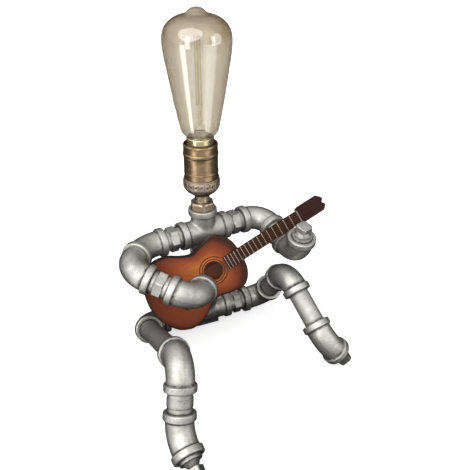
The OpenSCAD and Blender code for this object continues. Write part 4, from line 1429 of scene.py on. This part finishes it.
@dataclass
class FilamentBulb:
    """Pear shaped bulb: thin tinted glass, screw base, glass stem and a cage of filament wires."""

    chest: Array
    head: LampHead
    bulb_r: float = 32.3
    glass_h: float = 120.0
    glass_t: float = 0.8
    base_r: float = 13.2
    wire_low: float = 34.0
    wire_high: float = 95.0
    wire_r: float = 2.7
    wires: int = 6
    columns: int = 128
    coil_r: float = 0.28
    curl_r: float = 2.2

    @property
    def glass_z(self) -> float:
        """Lower rim of the glass."""
        return self.head.shell_top + 6.5

    def profile(self) -> Array:
        """Smooth outline of the glass: a curve through measured stations of height and radius.

        Returns:
            Rows of (height, radius).
        """
        stations = np.array([
            [0, 0.41], [0.012, 0.44], [0.05, 0.56], [0.13, 0.635], [0.21, 0.69], [0.3, 0.757], [0.38, 0.805],
            [0.46, 0.855], [0.54, 0.9], [0.61, 0.945], [0.68, 0.98], [0.735, 0.998], [0.775, 1],
            [0.82, 0.975],
            [0.86, 0.915], [0.892, 0.82], [0.92, 0.685], [0.938, 0.545], [0.948, 0.42], [0.954, 0.34],
            [0.962, 0.295], [0.975, 0.245], [0.988, 0.185], [0.997, 0.1], [1, 0]])
        curve = smooth_curve(stations * [self.glass_h, self.bulb_r], 6)
        return np.minimum(curve, [self.glass_h, self.bulb_r - 0.01])

    def glass(self) -> Draft:
        """Glass with an outer and an inner wall: the inner one is the outer one moved along its normal."""
        outer = self.profile()
        slope = np.gradient(outer, axis=0)
        normal = np.stack([slope[:, 1], -slope[:, 0]], 1) / np.linalg.norm(slope, axis=1)[:, None]
        inner = outer + normal * self.glass_t
        inner[:, 1] = np.maximum(inner[:, 1], 0.0)
        inner[-1] = [outer[-1, 0] - self.glass_t, 0.0]
        keep = np.concatenate([inner[:-1, 0] < inner[-1, 0], [True]])
        inner = inner[keep]
        inner[0, 0] = outer[0, 0]
        rim = np.vstack([outer[:1], inner])
        return Draft().grid(lathe(outer, self.columns)).grid(lathe(rim, self.columns))

    def stem(self) -> Draft:
        """Glass stem with its flare, pinch and rod, and a swelling at both ends of the rod."""
        neck = 0.41 * self.bulb_r - self.glass_t
        low, high = self.wire_low, self.wire_high
        rows = rounded([
            (0.1, 0.0, 0.0), (0.1, neck - 0.3, 0.2), (1.2, neck - 0.8, 0.5), (2.6, neck - 4, 1.5),
            (5, 5.4, 2.0),
            (11, 4.2, 3.0), (14, 2.7, 2.0), (low - 4, 2.6, 1.0), (low - 2.6, 3.4, 0.6), (low - 1.2, 3.0, 0.5),
            (low, 0.9, 0.3), (high - 1.5, 0.9, 0.3), (high - 0.7, 1.7, 0.5), (high + 0.7, 1.7, 0.5),
            (high + 1.5, 0.9, 0.4), (high + 1.5, 0.0, 0.0)])
        return Draft().grid(lathe(rows, 48))

    def wire(self, centre: Array, radius: float, angle: float) -> Array:
        """Thin upright wire: a ring of points round each point of its centre line, turned about the axis.

        Args:
            centre: Centre line of shape (n, 3), which rises steadily.
            radius: Radius of the wire.
            angle: Turn about the bulb's axis, in radians.

        Returns:
            Array of shape (n + 2, 8, 3), closed at both ends.
        """
        a = around(8)
        c, s = math.cos(angle), math.sin(angle)
        tube = centre[:, None] + radius * np.stack([np.cos(a), np.sin(a), 0 * a], -1)
        return capped(tube) @ np.array([[c, s, 0], [-s, c, 0], [0, 0, 1]])

    def filament(self) -> Draft:
        """Six upright wires joined by spokes, and two lead wires.

        The centre of each upright wire circles its axis, as a fine coil does. The centre of a lead wire
        swings out in a curl where it meets the glass pinch and again under the cage.

        Returns:
            A draft in the glass's axes.
        """
        draft = Draft()
        low, high = self.wire_low - 1.6, self.wire_high
        t = np.linspace(0, 1, 160)
        swing = t * 40 * 2 * math.pi
        strand = np.stack([self.wire_r + self.coil_r * np.cos(swing), self.coil_r * np.sin(swing),
                           low + 0.5 + t * (high - low - 1)], -1)
        z = 11.0 + t * (low - 11.0)
        curl = bump_at(z, 16.0, 3.0) + bump_at(z, low - 4.0, 3.0)
        turn = t * 14 * math.pi
        lead = np.stack([1.5 + t * (self.wire_r - 1.5) + self.curl_r * curl * np.cos(turn),
                         self.curl_r * curl * np.sin(turn), z], -1)
        reach = np.linspace(0.7, self.wire_r + 0.8, 4)
        spoke = capped(np.stack([np.outer(reach, np.ones(8)), 0.3 * np.outer(np.ones(4), np.cos(around(8))),
                                 0.3 * np.outer(np.ones(4), np.sin(around(8)))], -1))
        for angle in around(self.wires):
            draft.grid(self.wire(strand, 0.45, angle))
            c, s = math.cos(angle), math.sin(angle)
            turned_spoke = spoke @ np.array([[c, s, 0], [-s, c, 0], [0, 0, 1]])
            draft.grid(turned_spoke + [0, 0, low]).grid(turned_spoke + [0, 0, high])
        return draft.grid(self.wire(lead, 0.4, 0.6)).grid(self.wire(lead, 0.4, 0.6 + math.pi))

    def base(self) -> Draft:
        """Screw base: a wave on the radius for its thread, a plain collar, and a disc under the glass."""
        tip = self.head.shell_top - 24.0
        collar, top = self.head.shell_top - 1.0, self.glass_z
        z = np.linspace(tip + 6.6, collar - 0.6, 70)
        wave = self.base_r - 0.3 + 0.3 * np.cos((z - z[0]) / 3.2 * 2 * math.pi)
        outer = np.vstack([
            [[tip + 6.5, self.base_r - 1.2], [tip + 6.0, self.base_r - 0.4]], np.stack([z, wave], 1),
            rounded([(collar - 0.4, self.base_r - 0.2, 0.1), (collar + 1.2, self.base_r + 0.5, 0.5),
                     (top - 0.7, self.base_r + 0.5, 0.5), (top, self.base_r - 0.1, 0.2),
                     (top, self.base_r - 1.2, 0.1), (collar, self.base_r - 1.2, 0.1)])])
        reach = self.base_r - 1.3
        disc = np.array([[-2.2, 0.0], [-2.2, reach], [-1.4, reach], [-1.4, 0.0]]) + [top, 0.0]
        return Draft().grid(lathe(outer), rows_closed=True).grid(lathe(disc))

    def build(self) -> None:
        """Make, place and dress the bulb."""
        top = self.chest + AXIS_Z * self.glass_z
        place, below = Placement(top, AXIS_Z, AXIS_X), Placement(self.chest, AXIS_Z, AXIS_X)
        crown = (top[2] + self.glass_h) * MM
        tinted = TintedGlass("amber_glass", (0.655, 0.622, 0.55), (0.525, 0.445, 0.335), (0.38, 0.305, 0.205),
                             crown - 0.034, crown - 0.010, coat=1.0).build()
        clear = TintedGlass("stem_glass", (0.97, 0.96, 0.93), (0.9, 0.9, 0.9), (0.90, 0.86, 0.78),
                            edge_share=0.7,
                            ior=1.12).build()
        gold = Metal("gold_collar", (0.98, 0.84, 0.52), (0.84, 0.66, 0.34), (0.12, 0.09, 0.04), 0.85,
                     (0.2, 0.3),
                     grit=0.04, edge_shade=0.7).build()
        wire = Metal("filament_wire", (0.98, 0.78, 0.38), (0.84, 0.62, 0.26), (0.3, 0.16, 0.05), 0.0,
                     (0.35, 0.5),
                     grit=0.0, edge_shade=0.2).build()
        for draft, name, finish, node, slot in (
            (self.glass().carried(place), "bulb_glass_pear", tinted, "bulb_glass", "bulb_glass"),
            (self.base().carried(below), "bulb_screw_base", gold, "bulb_base", "bulb_base"),
            (self.stem().carried(place), "bulb_stem_glass", clear, "bulb_stem", "stem_glass"),
            (self.filament().carried(place), "bulb_filament_cage", wire, "bulb_filament", "filament"),
        ):
            SHOP.fit(draft.mesh_object(name), finish, node)
        black = Moulded("black_glass", (0.03, 0.03, 0.035), (0.02, 0.02, 0.022), 0.25).build()
        solder = Metal("solder", (0.7, 0.69, 0.66), (0.5, 0.5, 0.48), (0.1, 0.1, 0.1), 0.9,
                       (0.3, 0.45)).build()
        SHOP.dress("bulb_insulator", black)
        SHOP.dress("bulb_tip", solder)


def capped(rows: Array) -> Array:
    """Close a tube of loops at both ends with a loop that is shrunk to the end loop's middle.

    Args:
        rows: Array of shape (loops, points, 3).

    Returns:
        Array of shape (loops + 2, points, 3).
    """
    ends = np.broadcast_to(rows[[0, -1]].mean(1, keepdims=True), (2, *rows.shape[1:]))
    return np.concatenate([ends[:1], rows, ends[1:]])


def smooth_curve(stations: Array, cuts: int, closed: bool = False) -> Array:
    """Curve through all stations, each stretch a cubic of its four neighbours.

    Args:
        stations: Array of shape (n, k).
        cuts: Points for each stretch.
        closed: Whether the last station joins the first.

    Returns:
        Array of shape (m, k).
    """
    if closed:
        p0, p1, p2, p3 = (np.roll(stations, i, 0) for i in (1, 0, -1, -2))
    else:
        first = 2 * stations[:1] - stations[1:2]
        last = 2 * stations[-1:] - stations[-2:-1]
        line = np.vstack([first, stations, last])
        p0, p1, p2, p3 = line[:-3], line[1:-2], line[2:-1], line[3:]
    t = (np.arange(cuts) / cuts)[None, :, None]
    a, b, c, d = (p[:, None] for p in (p0, p1, p2, p3))
    out = 0.5 * (2 * b + (c - a) * t + (2 * a - 5 * b + 4 * c - d) * t**2 + (3 * b - a - 3 * c + d) * t**3)
    out = out.reshape(-1, stations.shape[1])
    return out if closed else np.vstack([out, stations[-1:]])


# ---------------------------------------------------------------- guitar


@dataclass
class Guitar:
    """Small guitar. Its own axes run along the neck (x), to its upper side (y) and out of its top (z)."""

    chest: Array
    tail: tuple[float, float, float] = (-81.2, -41.1, -49.0)
    azimuth: float = -15.4
    lean: float = 23.1
    roll: float = 24.7
    depth: float = 15.5
    tail_len: float = 74.0
    lower_w: float = 39.5
    upper_w: float = 31.0
    waist_w: float = 25.5
    hole_r: float = 9.6
    board_w: float = 6.9
    board_t: float = 2.6
    board_x: float = 14.6
    joint_x: float = 33.0
    nut_x: float = 105.0
    frets: int = 17

    @property
    def normal(self) -> Array:
        """Direction out of the soundboard."""
        a, e = math.radians(self.azimuth), math.radians(self.lean)
        return np.array([math.sin(a) * math.cos(e), -math.cos(a) * math.cos(e), math.sin(e)])

    @property
    def along(self) -> Array:
        """Direction of the neck."""
        level = unit(np.cross(AXIS_Z, self.normal))
        rise = np.cross(self.normal, level)
        a = math.radians(self.roll)
        return math.cos(a) * level + math.sin(a) * rise

    @property
    def place(self) -> Placement:
        """Placement of the sound hole's centre on the top."""
        return Placement(self.chest + np.array(self.tail) + self.tail_len * self.along, self.normal,
                         self.along)

    @property
    def lower_x(self) -> float:
        """Where the lower bout is widest."""
        return -self.tail_len * 0.6

    def outline(self) -> Array:
        """Outline of the body: a smooth closed curve through stations and their mirror images.

        Returns:
            Array of shape (n, 2).
        """
        lw, uw, ww, tail = self.lower_w, self.upper_w, self.waist_w, self.tail_len
        wx, ux, lx, jx = -11.0, 15.0, self.lower_x, self.joint_x
        half = np.array([
            [-tail, 0], [-tail + 1.2, lw * 0.28], [-tail + 5, lw * 0.55], [-tail + 13, lw * 0.83],
            [-tail + 22, lw * 0.965], [lx, lw], [lx + 12, lw * 0.93], [lx + 23, ww * 1.17], [wx, ww],
            [wx + 9, ww * 1.07], [ux - 6, uw * 0.965], [ux, uw], [ux + 7, uw * 0.94], [ux + 13, uw * 0.75],
            [ux + 16.5, uw * 0.5], [jx - 0.3, uw * 0.27], [jx, uw * 0.2]])
        both = np.vstack([half, (half[1:] * [1, -1])[::-1]])
        return smooth_curve(both, 6, closed=True)

    def plate(
        self, inner: Array, outer: Array, low: float, high: float, edge: float, hollow: bool = True
    ) -> Draft:
        """Plate between an inner and an outer outline with rounded outer edges.

        Its rows run from the inner outline along the top, round the outer edge and back below, each a blend
        of the two outlines by its share of the way. That share is also how dark the burst is, plus up to
        half on the upper bout, less towards its rim.

        Args:
            inner: Points of the inner outline, of shape (n, 2).
            outer: Points of the outer outline, of shape (n, 2).
            low: Height of the underside.
            high: Height of the top.
            edge: Radius of the outer edges.
            hollow: Whether the inner outline is the edge of a hole.

        Returns:
            A draft in the guitar's axes.
        """
        gap = np.linalg.norm(outer - inner, axis=1)
        flat, a = np.linspace(0, 1, 12)[:-1], np.linspace(0, math.pi / 2, 4)
        share = np.concatenate([flat, np.ones(8), flat[::-1]])
        back = edge * np.concatenate([0 * flat, 1 - np.sin(a), 1 - np.cos(a), 0 * flat])
        z = np.concatenate([0 * flat + high, high - edge * (1 - np.cos(a)), low + edge * (1 - np.sin(a)),
                            0 * flat + low])
        ratio = np.clip(share[:, None] - back[:, None] / gap, 0, 1)
        xy = inner + (outer - inner) * ratio[..., None]
        points = np.concatenate([xy, np.broadcast_to(z[:, None, None], (*ratio.shape, 1))], -1)
        heavier = np.clip((xy[..., 0] - 2.0) / 18.0, 0, 1) * (0.52 - 0.40 * ratio)
        return Draft().grid(points, rows_closed=hollow, rim=np.clip(ratio + heavier, 0, 1))

    def top(self) -> Draft:
        """Soundboard with its hole: each outline point's partner lies at the same angle on the hole."""
        outer = self.outline()
        angle = np.arctan2(outer[:, 1], outer[:, 0])
        hole = self.hole_r * np.stack([np.cos(angle), np.sin(angle)], 1)
        return self.plate(hole, outer, -2.0, 0.0, 0.5)

    def back(self) -> Draft:
        """Back plate, closed at its middle."""
        outer = self.outline()
        return self.plate(np.zeros_like(outer) + [-20.0, 0.0], outer, -self.depth, -self.depth + 2.0, 0.8,
                          False)

    def sides(self) -> Draft:
        """Bent sides: a thin wall between the outline and the same line moved inwards."""
        outer = self.outline()
        t = np.roll(outer, -1, 0) - np.roll(outer, 1, 0)
        t = t / np.linalg.norm(t, axis=1, keepdims=True)
        inner = outer + 1.8 * np.stack([t[:, 1], -t[:, 0]], 1)
        loops = np.stack([outer, outer, inner, inner])
        z = np.array([2.0 - self.depth, -2.0, -2.0, 2.0 - self.depth])
        rows = np.concatenate([loops, np.broadcast_to(z[:, None, None], (*loops.shape[:2], 1))], -1)
        return Draft().grid(rows, rows_closed=True, rim=1.0)

    def rosette(self) -> Draft:
        """Inlaid rings round the hole: each is a low lathe ring, cut where the fretboard crosses it."""
        draft = Draft()
        start = math.asin(min(0.99, (self.board_w + 0.15) / (self.hole_r + 3.4)))
        for low, high, rise in ((0.15, 0.75, 0.22), (1.9, 2.7, 0.25), (4.6, 5.5, 0.25)):
            r0, r1 = self.hole_r + low, self.hole_r + high
            gap = start if r1 > self.board_x - 0.2 else 0.0
            a = np.linspace(gap, 2 * math.pi - gap, 120)
            r, z = np.array([[r0, r0, r1, r1], [0.0, rise, rise, 0.0]])
            rows = np.stack([np.outer(r, np.cos(a)), np.outer(r, np.sin(a)), np.outer(z, np.ones(120))], -1)
            draft.grid(rows, rows_closed=True, columns_closed=gap == 0.0)
            if gap:
                for end in (rows[:, 0], rows[:, -1]):
                    draft.grid(np.stack([np.repeat(end.mean(0)[None], 4, 0), end]))
        return draft

    def fretboard(self) -> Draft:
        """Fretboard: a slab with a slight camber across it and eased long edges."""
        u = np.linspace(-1, 1, 17)
        camber = self.board_t - 0.25 * u**2
        camber[[0, -1]] = self.board_t - 0.55
        y = u * (self.board_w - 0.01)
        section = np.vstack([np.stack([y, camber], 1), [[y[-1], 0.02], [y[0], 0.02]]])
        x = np.linspace(self.board_x, self.nut_x, 60)[:, None, None]
        n = len(section)
        rows = np.concatenate([np.broadcast_to(x, (60, n, 1)), np.broadcast_to(section, (60, n, 2))], -1)
        return Draft().grid(capped(rows))

    def fret_places(self) -> Array:
        """Distances of the frets: each is the twelfth root of two nearer to the bridge than the last."""
        scale = self.nut_x + self.tail_len * 0.57
        x = self.nut_x - scale * (1 - 2.0 ** (-np.arange(1, self.frets + 1) / 12.0))
        return x[x > self.board_x + 1]

    def fret_wires(self) -> Draft:
        """Half-round fret wires laid across the board: an arch carried along the board's camber."""
        draft = Draft()
        a, v = np.linspace(0, math.pi, 7), np.linspace(-1, 1, 9)
        arch = np.stack([0.45 * np.cos(a), 0 * a, 0.55 * np.sin(a)], 1)
        line = np.stack([0 * v, v * (self.board_w - 0.15), self.board_t - 0.25 * v**2 - 0.02], 1)
        wire = capped(line[:, None] + arch)
        for x in self.fret_places():
            draft.grid(wire + [x, 0.0, 0.0])
        return draft

    def neck(self) -> Draft:
        """Neck: a half-round section that swells into the heel at the body.

        Returns:
            A draft in the guitar's axes.
        """
        xs = np.concatenate([np.linspace(self.joint_x + 0.7, self.joint_x + 14, 16),
                             np.linspace(self.joint_x + 16, self.nut_x, 12)])
        heel = np.clip(1 - (xs - self.joint_x - 0.7) / 9.0, 0, 1) ** 1.8
        depth = 7.4 + heel * 5.8
        width = self.board_w - 0.25 - heel * 1.6
        a = np.linspace(0, math.pi, 17)
        rows = np.stack([np.outer(xs, np.ones(17)), np.outer(width, np.cos(a)),
                         -np.outer(depth, np.sin(a) ** 0.8)], -1)
        return Draft().grid(capped(rows))

    def finishes(self) -> dict[str, bpy.types.Material]:
        """Every wood, metal and moulded finish of the guitar.

        Returns:
            The materials by name.
        """
        axes = (self.along, np.cross(self.normal, self.along))
        kinds = (
            Wood("sunburst_spruce", (0.75, 0.27, 0.065), (0.55, 0.165, 0.037), (0.49, 0.112, 0.034),
                 (0.210, 0.045, 0.018), *axes),
            Wood("dark_mahogany", (0.14, 0.045, 0.022), (0.08, 0.025, 0.014), (0.09, 0.03, 0.016),
                 (0.06, 0.019, 0.012), *axes),
            Wood("back_mahogany", (0.42, 0.14, 0.065), (0.32, 0.10, 0.045), (0.24, 0.07, 0.035),
                 (0.12, 0.035, 0.018), *axes),
            Wood("neck_mahogany", (0.060, 0.018, 0.013), (0.026, 0.009, 0.007), (0.03, 0.01, 0.008),
                 (0.02, 0.009, 0.008), *axes, stretch=22, coat=0.0, specular=0.15),
            Wood("rosewood", (0.070, 0.020, 0.011), (0.032, 0.010, 0.006), (0.02, 0.01, 0.009),
                 (0.02, 0.01, 0.009),
                 *axes, stretch=10, roughness=0.55, coat=0.0, specular=0.08),
            Wood("dark_binding", (0.03, 0.012, 0.009), (0.02, 0.009, 0.007), (0.02, 0.009, 0.007),
                 (0.02, 0.008, 0.006), *axes),
            Wood("inlay", (0.12, 0.035, 0.017), (0.06, 0.02, 0.012), (0.06, 0.02, 0.012),
                 (0.03, 0.012, 0.008),
                 *axes, stretch=4, coat=0.0),
            Metal("fret_metal", (0.86, 0.76, 0.66), (0.7, 0.62, 0.53), (0.1, 0.08, 0.06), 0.5, (0.25, 0.38),
                  grit=0.0),
            Metal("string_metal", (0.15, 0.075, 0.042), (0.09, 0.045, 0.026), (0.03, 0.02, 0.015), 0.4,
                  (0.5, 0.6),
                  grit=0.0),
            Moulded("bone", (0.36, 0.29, 0.22), (0.27, 0.21, 0.16), 0.5),
            Moulded("bracket_paint", (0.12, 0.12, 0.12), (0.08, 0.08, 0.08), 0.5),
        )
        return {kind.name: kind.build() for kind in kinds}

    def build(self) -> None:
        """Make, place and dress the guitar."""
        made = self.finishes()
        for draft, name, finish, node, slot in (
            (self.top(), "guitar_soundboard", "sunburst_spruce", "guitar_top", "spruce"),
            (self.back(), "guitar_back_plate", "back_mahogany", "guitar_back", "mahogany"),
            (self.sides(), "guitar_sides", "dark_mahogany", "guitar_ribs", "mahogany"),
            (self.rosette(), "guitar_rosette_rings", "inlay", "guitar_rosette", "rosewood"),
            (self.fretboard(), "guitar_board", "rosewood", "guitar_fretboard", "rosewood"),
            (self.fret_wires(), "guitar_fret_wires", "fret_metal", "guitar_frets", "fret_metal"),
            (self.neck(), "guitar_neck_shaft", "neck_mahogany", "guitar_neck", "mahogany"),
        ):
            SHOP.fit(draft.carried(self.place).mesh_object(name), made[finish], node)
        for node, finish in (
            ("guitar_binding", "dark_binding"), ("guitar_headstock", "neck_mahogany"),
            ("guitar_bridge", "rosewood"),
            ("guitar_saddle", "bone"), ("guitar_nut", "bone"), ("guitar_strings", "string_metal"),
            ("guitar_bracket", "bracket_paint"),
        ):
            SHOP.dress(node, made[finish])


# ---------------------------------------------------------------- studio


@dataclass(frozen=True)
class Softbox:
    """A soft lamp: where it stands and what it points at, in metres, with its size and power.

    One that only mirrors show is a rectangle, and the others are round.
    """

    name: str
    spot: tuple[float, float, float]
    aim: tuple[float, float, float]
    size: tuple[float, float]
    watts: float
    mirror_only: bool = False


@dataclass
class Studio:
    """Pale floor and backdrop, soft lamps and the camera.

    Each card is a bright sector of the floor as metal sees it: the two shares of its direction along x and
    y, its strength, and the cosine at its edge.
    """

    eye: tuple[float, float, float] = (-0.23948, -0.47989, 0.43336)
    right: tuple[float, float, float] = (0.86435, -0.50289, 0.0)
    up: tuple[float, float, float] = (0.25582, 0.43970, 0.86094)
    focal: float = 573.0
    frame_px: float = 470.0
    floor_half: float = 6.0
    lamps: tuple[Softbox, ...] = (
        Softbox("key", (-0.80, -0.60, 1.15), (0.0, -0.05, 0.12), (1.9, 1.9), 13.8),
        Softbox("fill", (0.85, -0.9, 0.55), (0.0, -0.05, 0.15), (0.7, 0.9), 2.0),
        Softbox("strip_left", (-0.62, -0.40, 0.42), (0.0, 0.0, 0.29), (0.20, 0.55), 0.75, True),
        Softbox("strip_right", (0.36, -0.72, 0.42), (0.0, 0.0, 0.29), (0.17, 0.5), 0.5, True),
    )
    lit_from: tuple[float, float, float] = (-0.48, -0.30, 0.826)
    cards: tuple[tuple[float, float, float, float], ...] = (
        (-0.963, -0.266, 2.2, 0.975), (0.365, -0.930, 1.0, 0.93), (-0.447, -0.894, 0.38, 0.70))

    def floor(self) -> None:
        """Wide pale floor that keeps the shadow but is seen as near white.

        Polished metal sees it dark, but for bright sectors that stand for reflector cards: a sector's level
        rises with the cosine of the angle between the spot's direction and the sector's.
        """
        line = np.array([-self.floor_half, self.floor_half]) / MM
        x, y = np.meshgrid(line, line, indexing="ij")
        piece = Draft().grid(np.stack([x, y, np.full_like(x, -0.05)], -1),
                             columns_closed=False).mesh_object("floor")
        material, w, shader = new_material("pale_floor")
        spot = w.place()
        noise = w.add("TexNoise", {"Vector": spot, "Scale": 3.0})
        pale = w.blend(w.ranged(noise.outputs[0], 0.3, 0.7, 0.0, 1.0), (0.86, 0.86, 0.86), (0.90, 0.90, 0.90))
        rays = w.add("LightPath")
        direct = w.math("MAXIMUM", rays.outputs["Is Camera Ray"], rays.outputs["Is Transmission Ray"])
        w.fill(shader, {"Base Color": w.blend(direct, (0.045, 0.045, 0.045), pale), "Roughness": 0.9,
                        "Specular IOR Level": 0.0})
        away = w.vector("LENGTH", spot)
        level: object = 0.0
        for x_share, y_share, strength, edge in self.cards:
            share = w.math("DIVIDE", w.vector("DOT_PRODUCT", spot, (x_share, y_share, 0.0)), away)
            level = w.math("ADD", level, w.ranged(share, edge, 0.25 * edge + 0.75, 0.0, strength))
        mirrored = w.math("ADD", w.math("MULTIPLY", level, w.ranged(away, 0.20, 0.30, 0.0, 1.0)), 0.015)
        seen = w.math("ADD", w.math("MULTIPLY", direct, w.ranged(away, 0.15, 0.7, 0.62, 1.0)),
                      w.math("MULTIPLY", rays.outputs["Is Glossy Ray"], mirrored))
        glow = w.add("Emission", {"Color": (1.0, 1.0, 1.0), "Strength": seen})
        both = w.add("AddShader", {0: shader.outputs[0], 1: glow.outputs[0]})
        output = next(node for node in w.tree.nodes if node.bl_idname == "ShaderNodeOutputMaterial")
        w.fill(output, {0: both.outputs[0]})
        piece.data.materials.append(material)

    def sky(self) -> None:
        """White background for the eye and through glass, and a soft graded light for the rest."""
        world = bpy.data.worlds.new("studio")
        bpy.context.scene.world = world
        world.use_nodes = True
        world.node_tree.nodes.clear()
        w = Wiring(world.node_tree)
        rays = w.add("LightPath")
        direct = w.math("MAXIMUM", rays.outputs["Is Camera Ray"], rays.outputs["Is Transmission Ray"])
        toward = w.vector("DOT_PRODUCT", w.place(), self.lit_from)
        soft, mirror = w.ranged(toward, -0.6, 0.9, 0.07, 0.60), w.ranged(toward, -0.1, 0.85, 0.03, 1.15)
        shown = w.blend(rays.outputs["Is Glossy Ray"], soft, mirror)
        back = w.add("Background", {"Color": w.blend(direct, shown, (1.0, 1.0, 1.0)), "Strength": 1.0})
        w.add("OutputWorld", {0: back.outputs[0]})

    def light(self, box: Softbox) -> None:
        """Hang one softbox.

        Args:
            box: The lamp's sizes.
        """
        data = bpy.data.lights.new(box.name, "AREA")
        data.shape = "RECTANGLE" if box.mirror_only else "ELLIPSE"
        data.size, data.size_y = box.size
        data.energy = box.watts
        lamp = bpy.data.objects.new(box.name, data)
        lamp.location = box.spot
        lamp.rotation_euler = (Vector(box.aim) - Vector(box.spot)).to_track_quat("-Z", "Y").to_euler()
        lamp.visible_diffuse = not box.mirror_only
        bpy.context.scene.collection.objects.link(lamp)

    def camera(self) -> None:
        """Camera from its eye point, its right and up directions and its focal length in pixels."""
        data = bpy.data.cameras.new("camera")
        data.sensor_width = SENSOR
        data.sensor_fit = "HORIZONTAL"
        data.lens = self.focal / self.frame_px * SENSOR
        data.clip_start, data.clip_end = 0.01, 50.0
        piece = bpy.data.objects.new("camera", data)
        right, up = unit(np.array(self.right)), unit(np.array(self.up))
        back = np.cross(right, up)
        matrix = np.eye(4)
        matrix[:3, :3] = np.stack([right, up, back], 1)
        matrix[:3, 3] = self.eye
        bpy.context.scene.collection.objects.link(piece)
        piece.matrix_world = Matrix(matrix.tolist())
        bpy.context.scene.camera = piece

    def build(self) -> None:
        """Set up the whole studio."""
        bpy.context.scene.view_settings.view_transform = "Standard"
        self.floor()
        self.sky()
        for box in self.lamps:
            self.light(box)
        self.camera()


def main() -> None:
    """Build the lamp and its studio."""
    logging.basicConfig(level=logging.INFO, format="%(name)s %(message)s")
    Studio().build()
    figure = PipeFigure()
    figure.build()
    head = LampHead(figure.chest)
    head.build()
    FilamentBulb(figure.chest, head).build()
    Guitar(figure.chest).build()
    rubber = Moulded("rubber", (0.075, 0.075, 0.072), (0.05, 0.05, 0.048), 0.75).build()
    SHOP.dress("seat_pad", rubber)
    SHOP.dress("cord_grommet", rubber)
    LOG.info("%d pieces", SHOP.pieces)


if __name__ == "__main__":
    main()
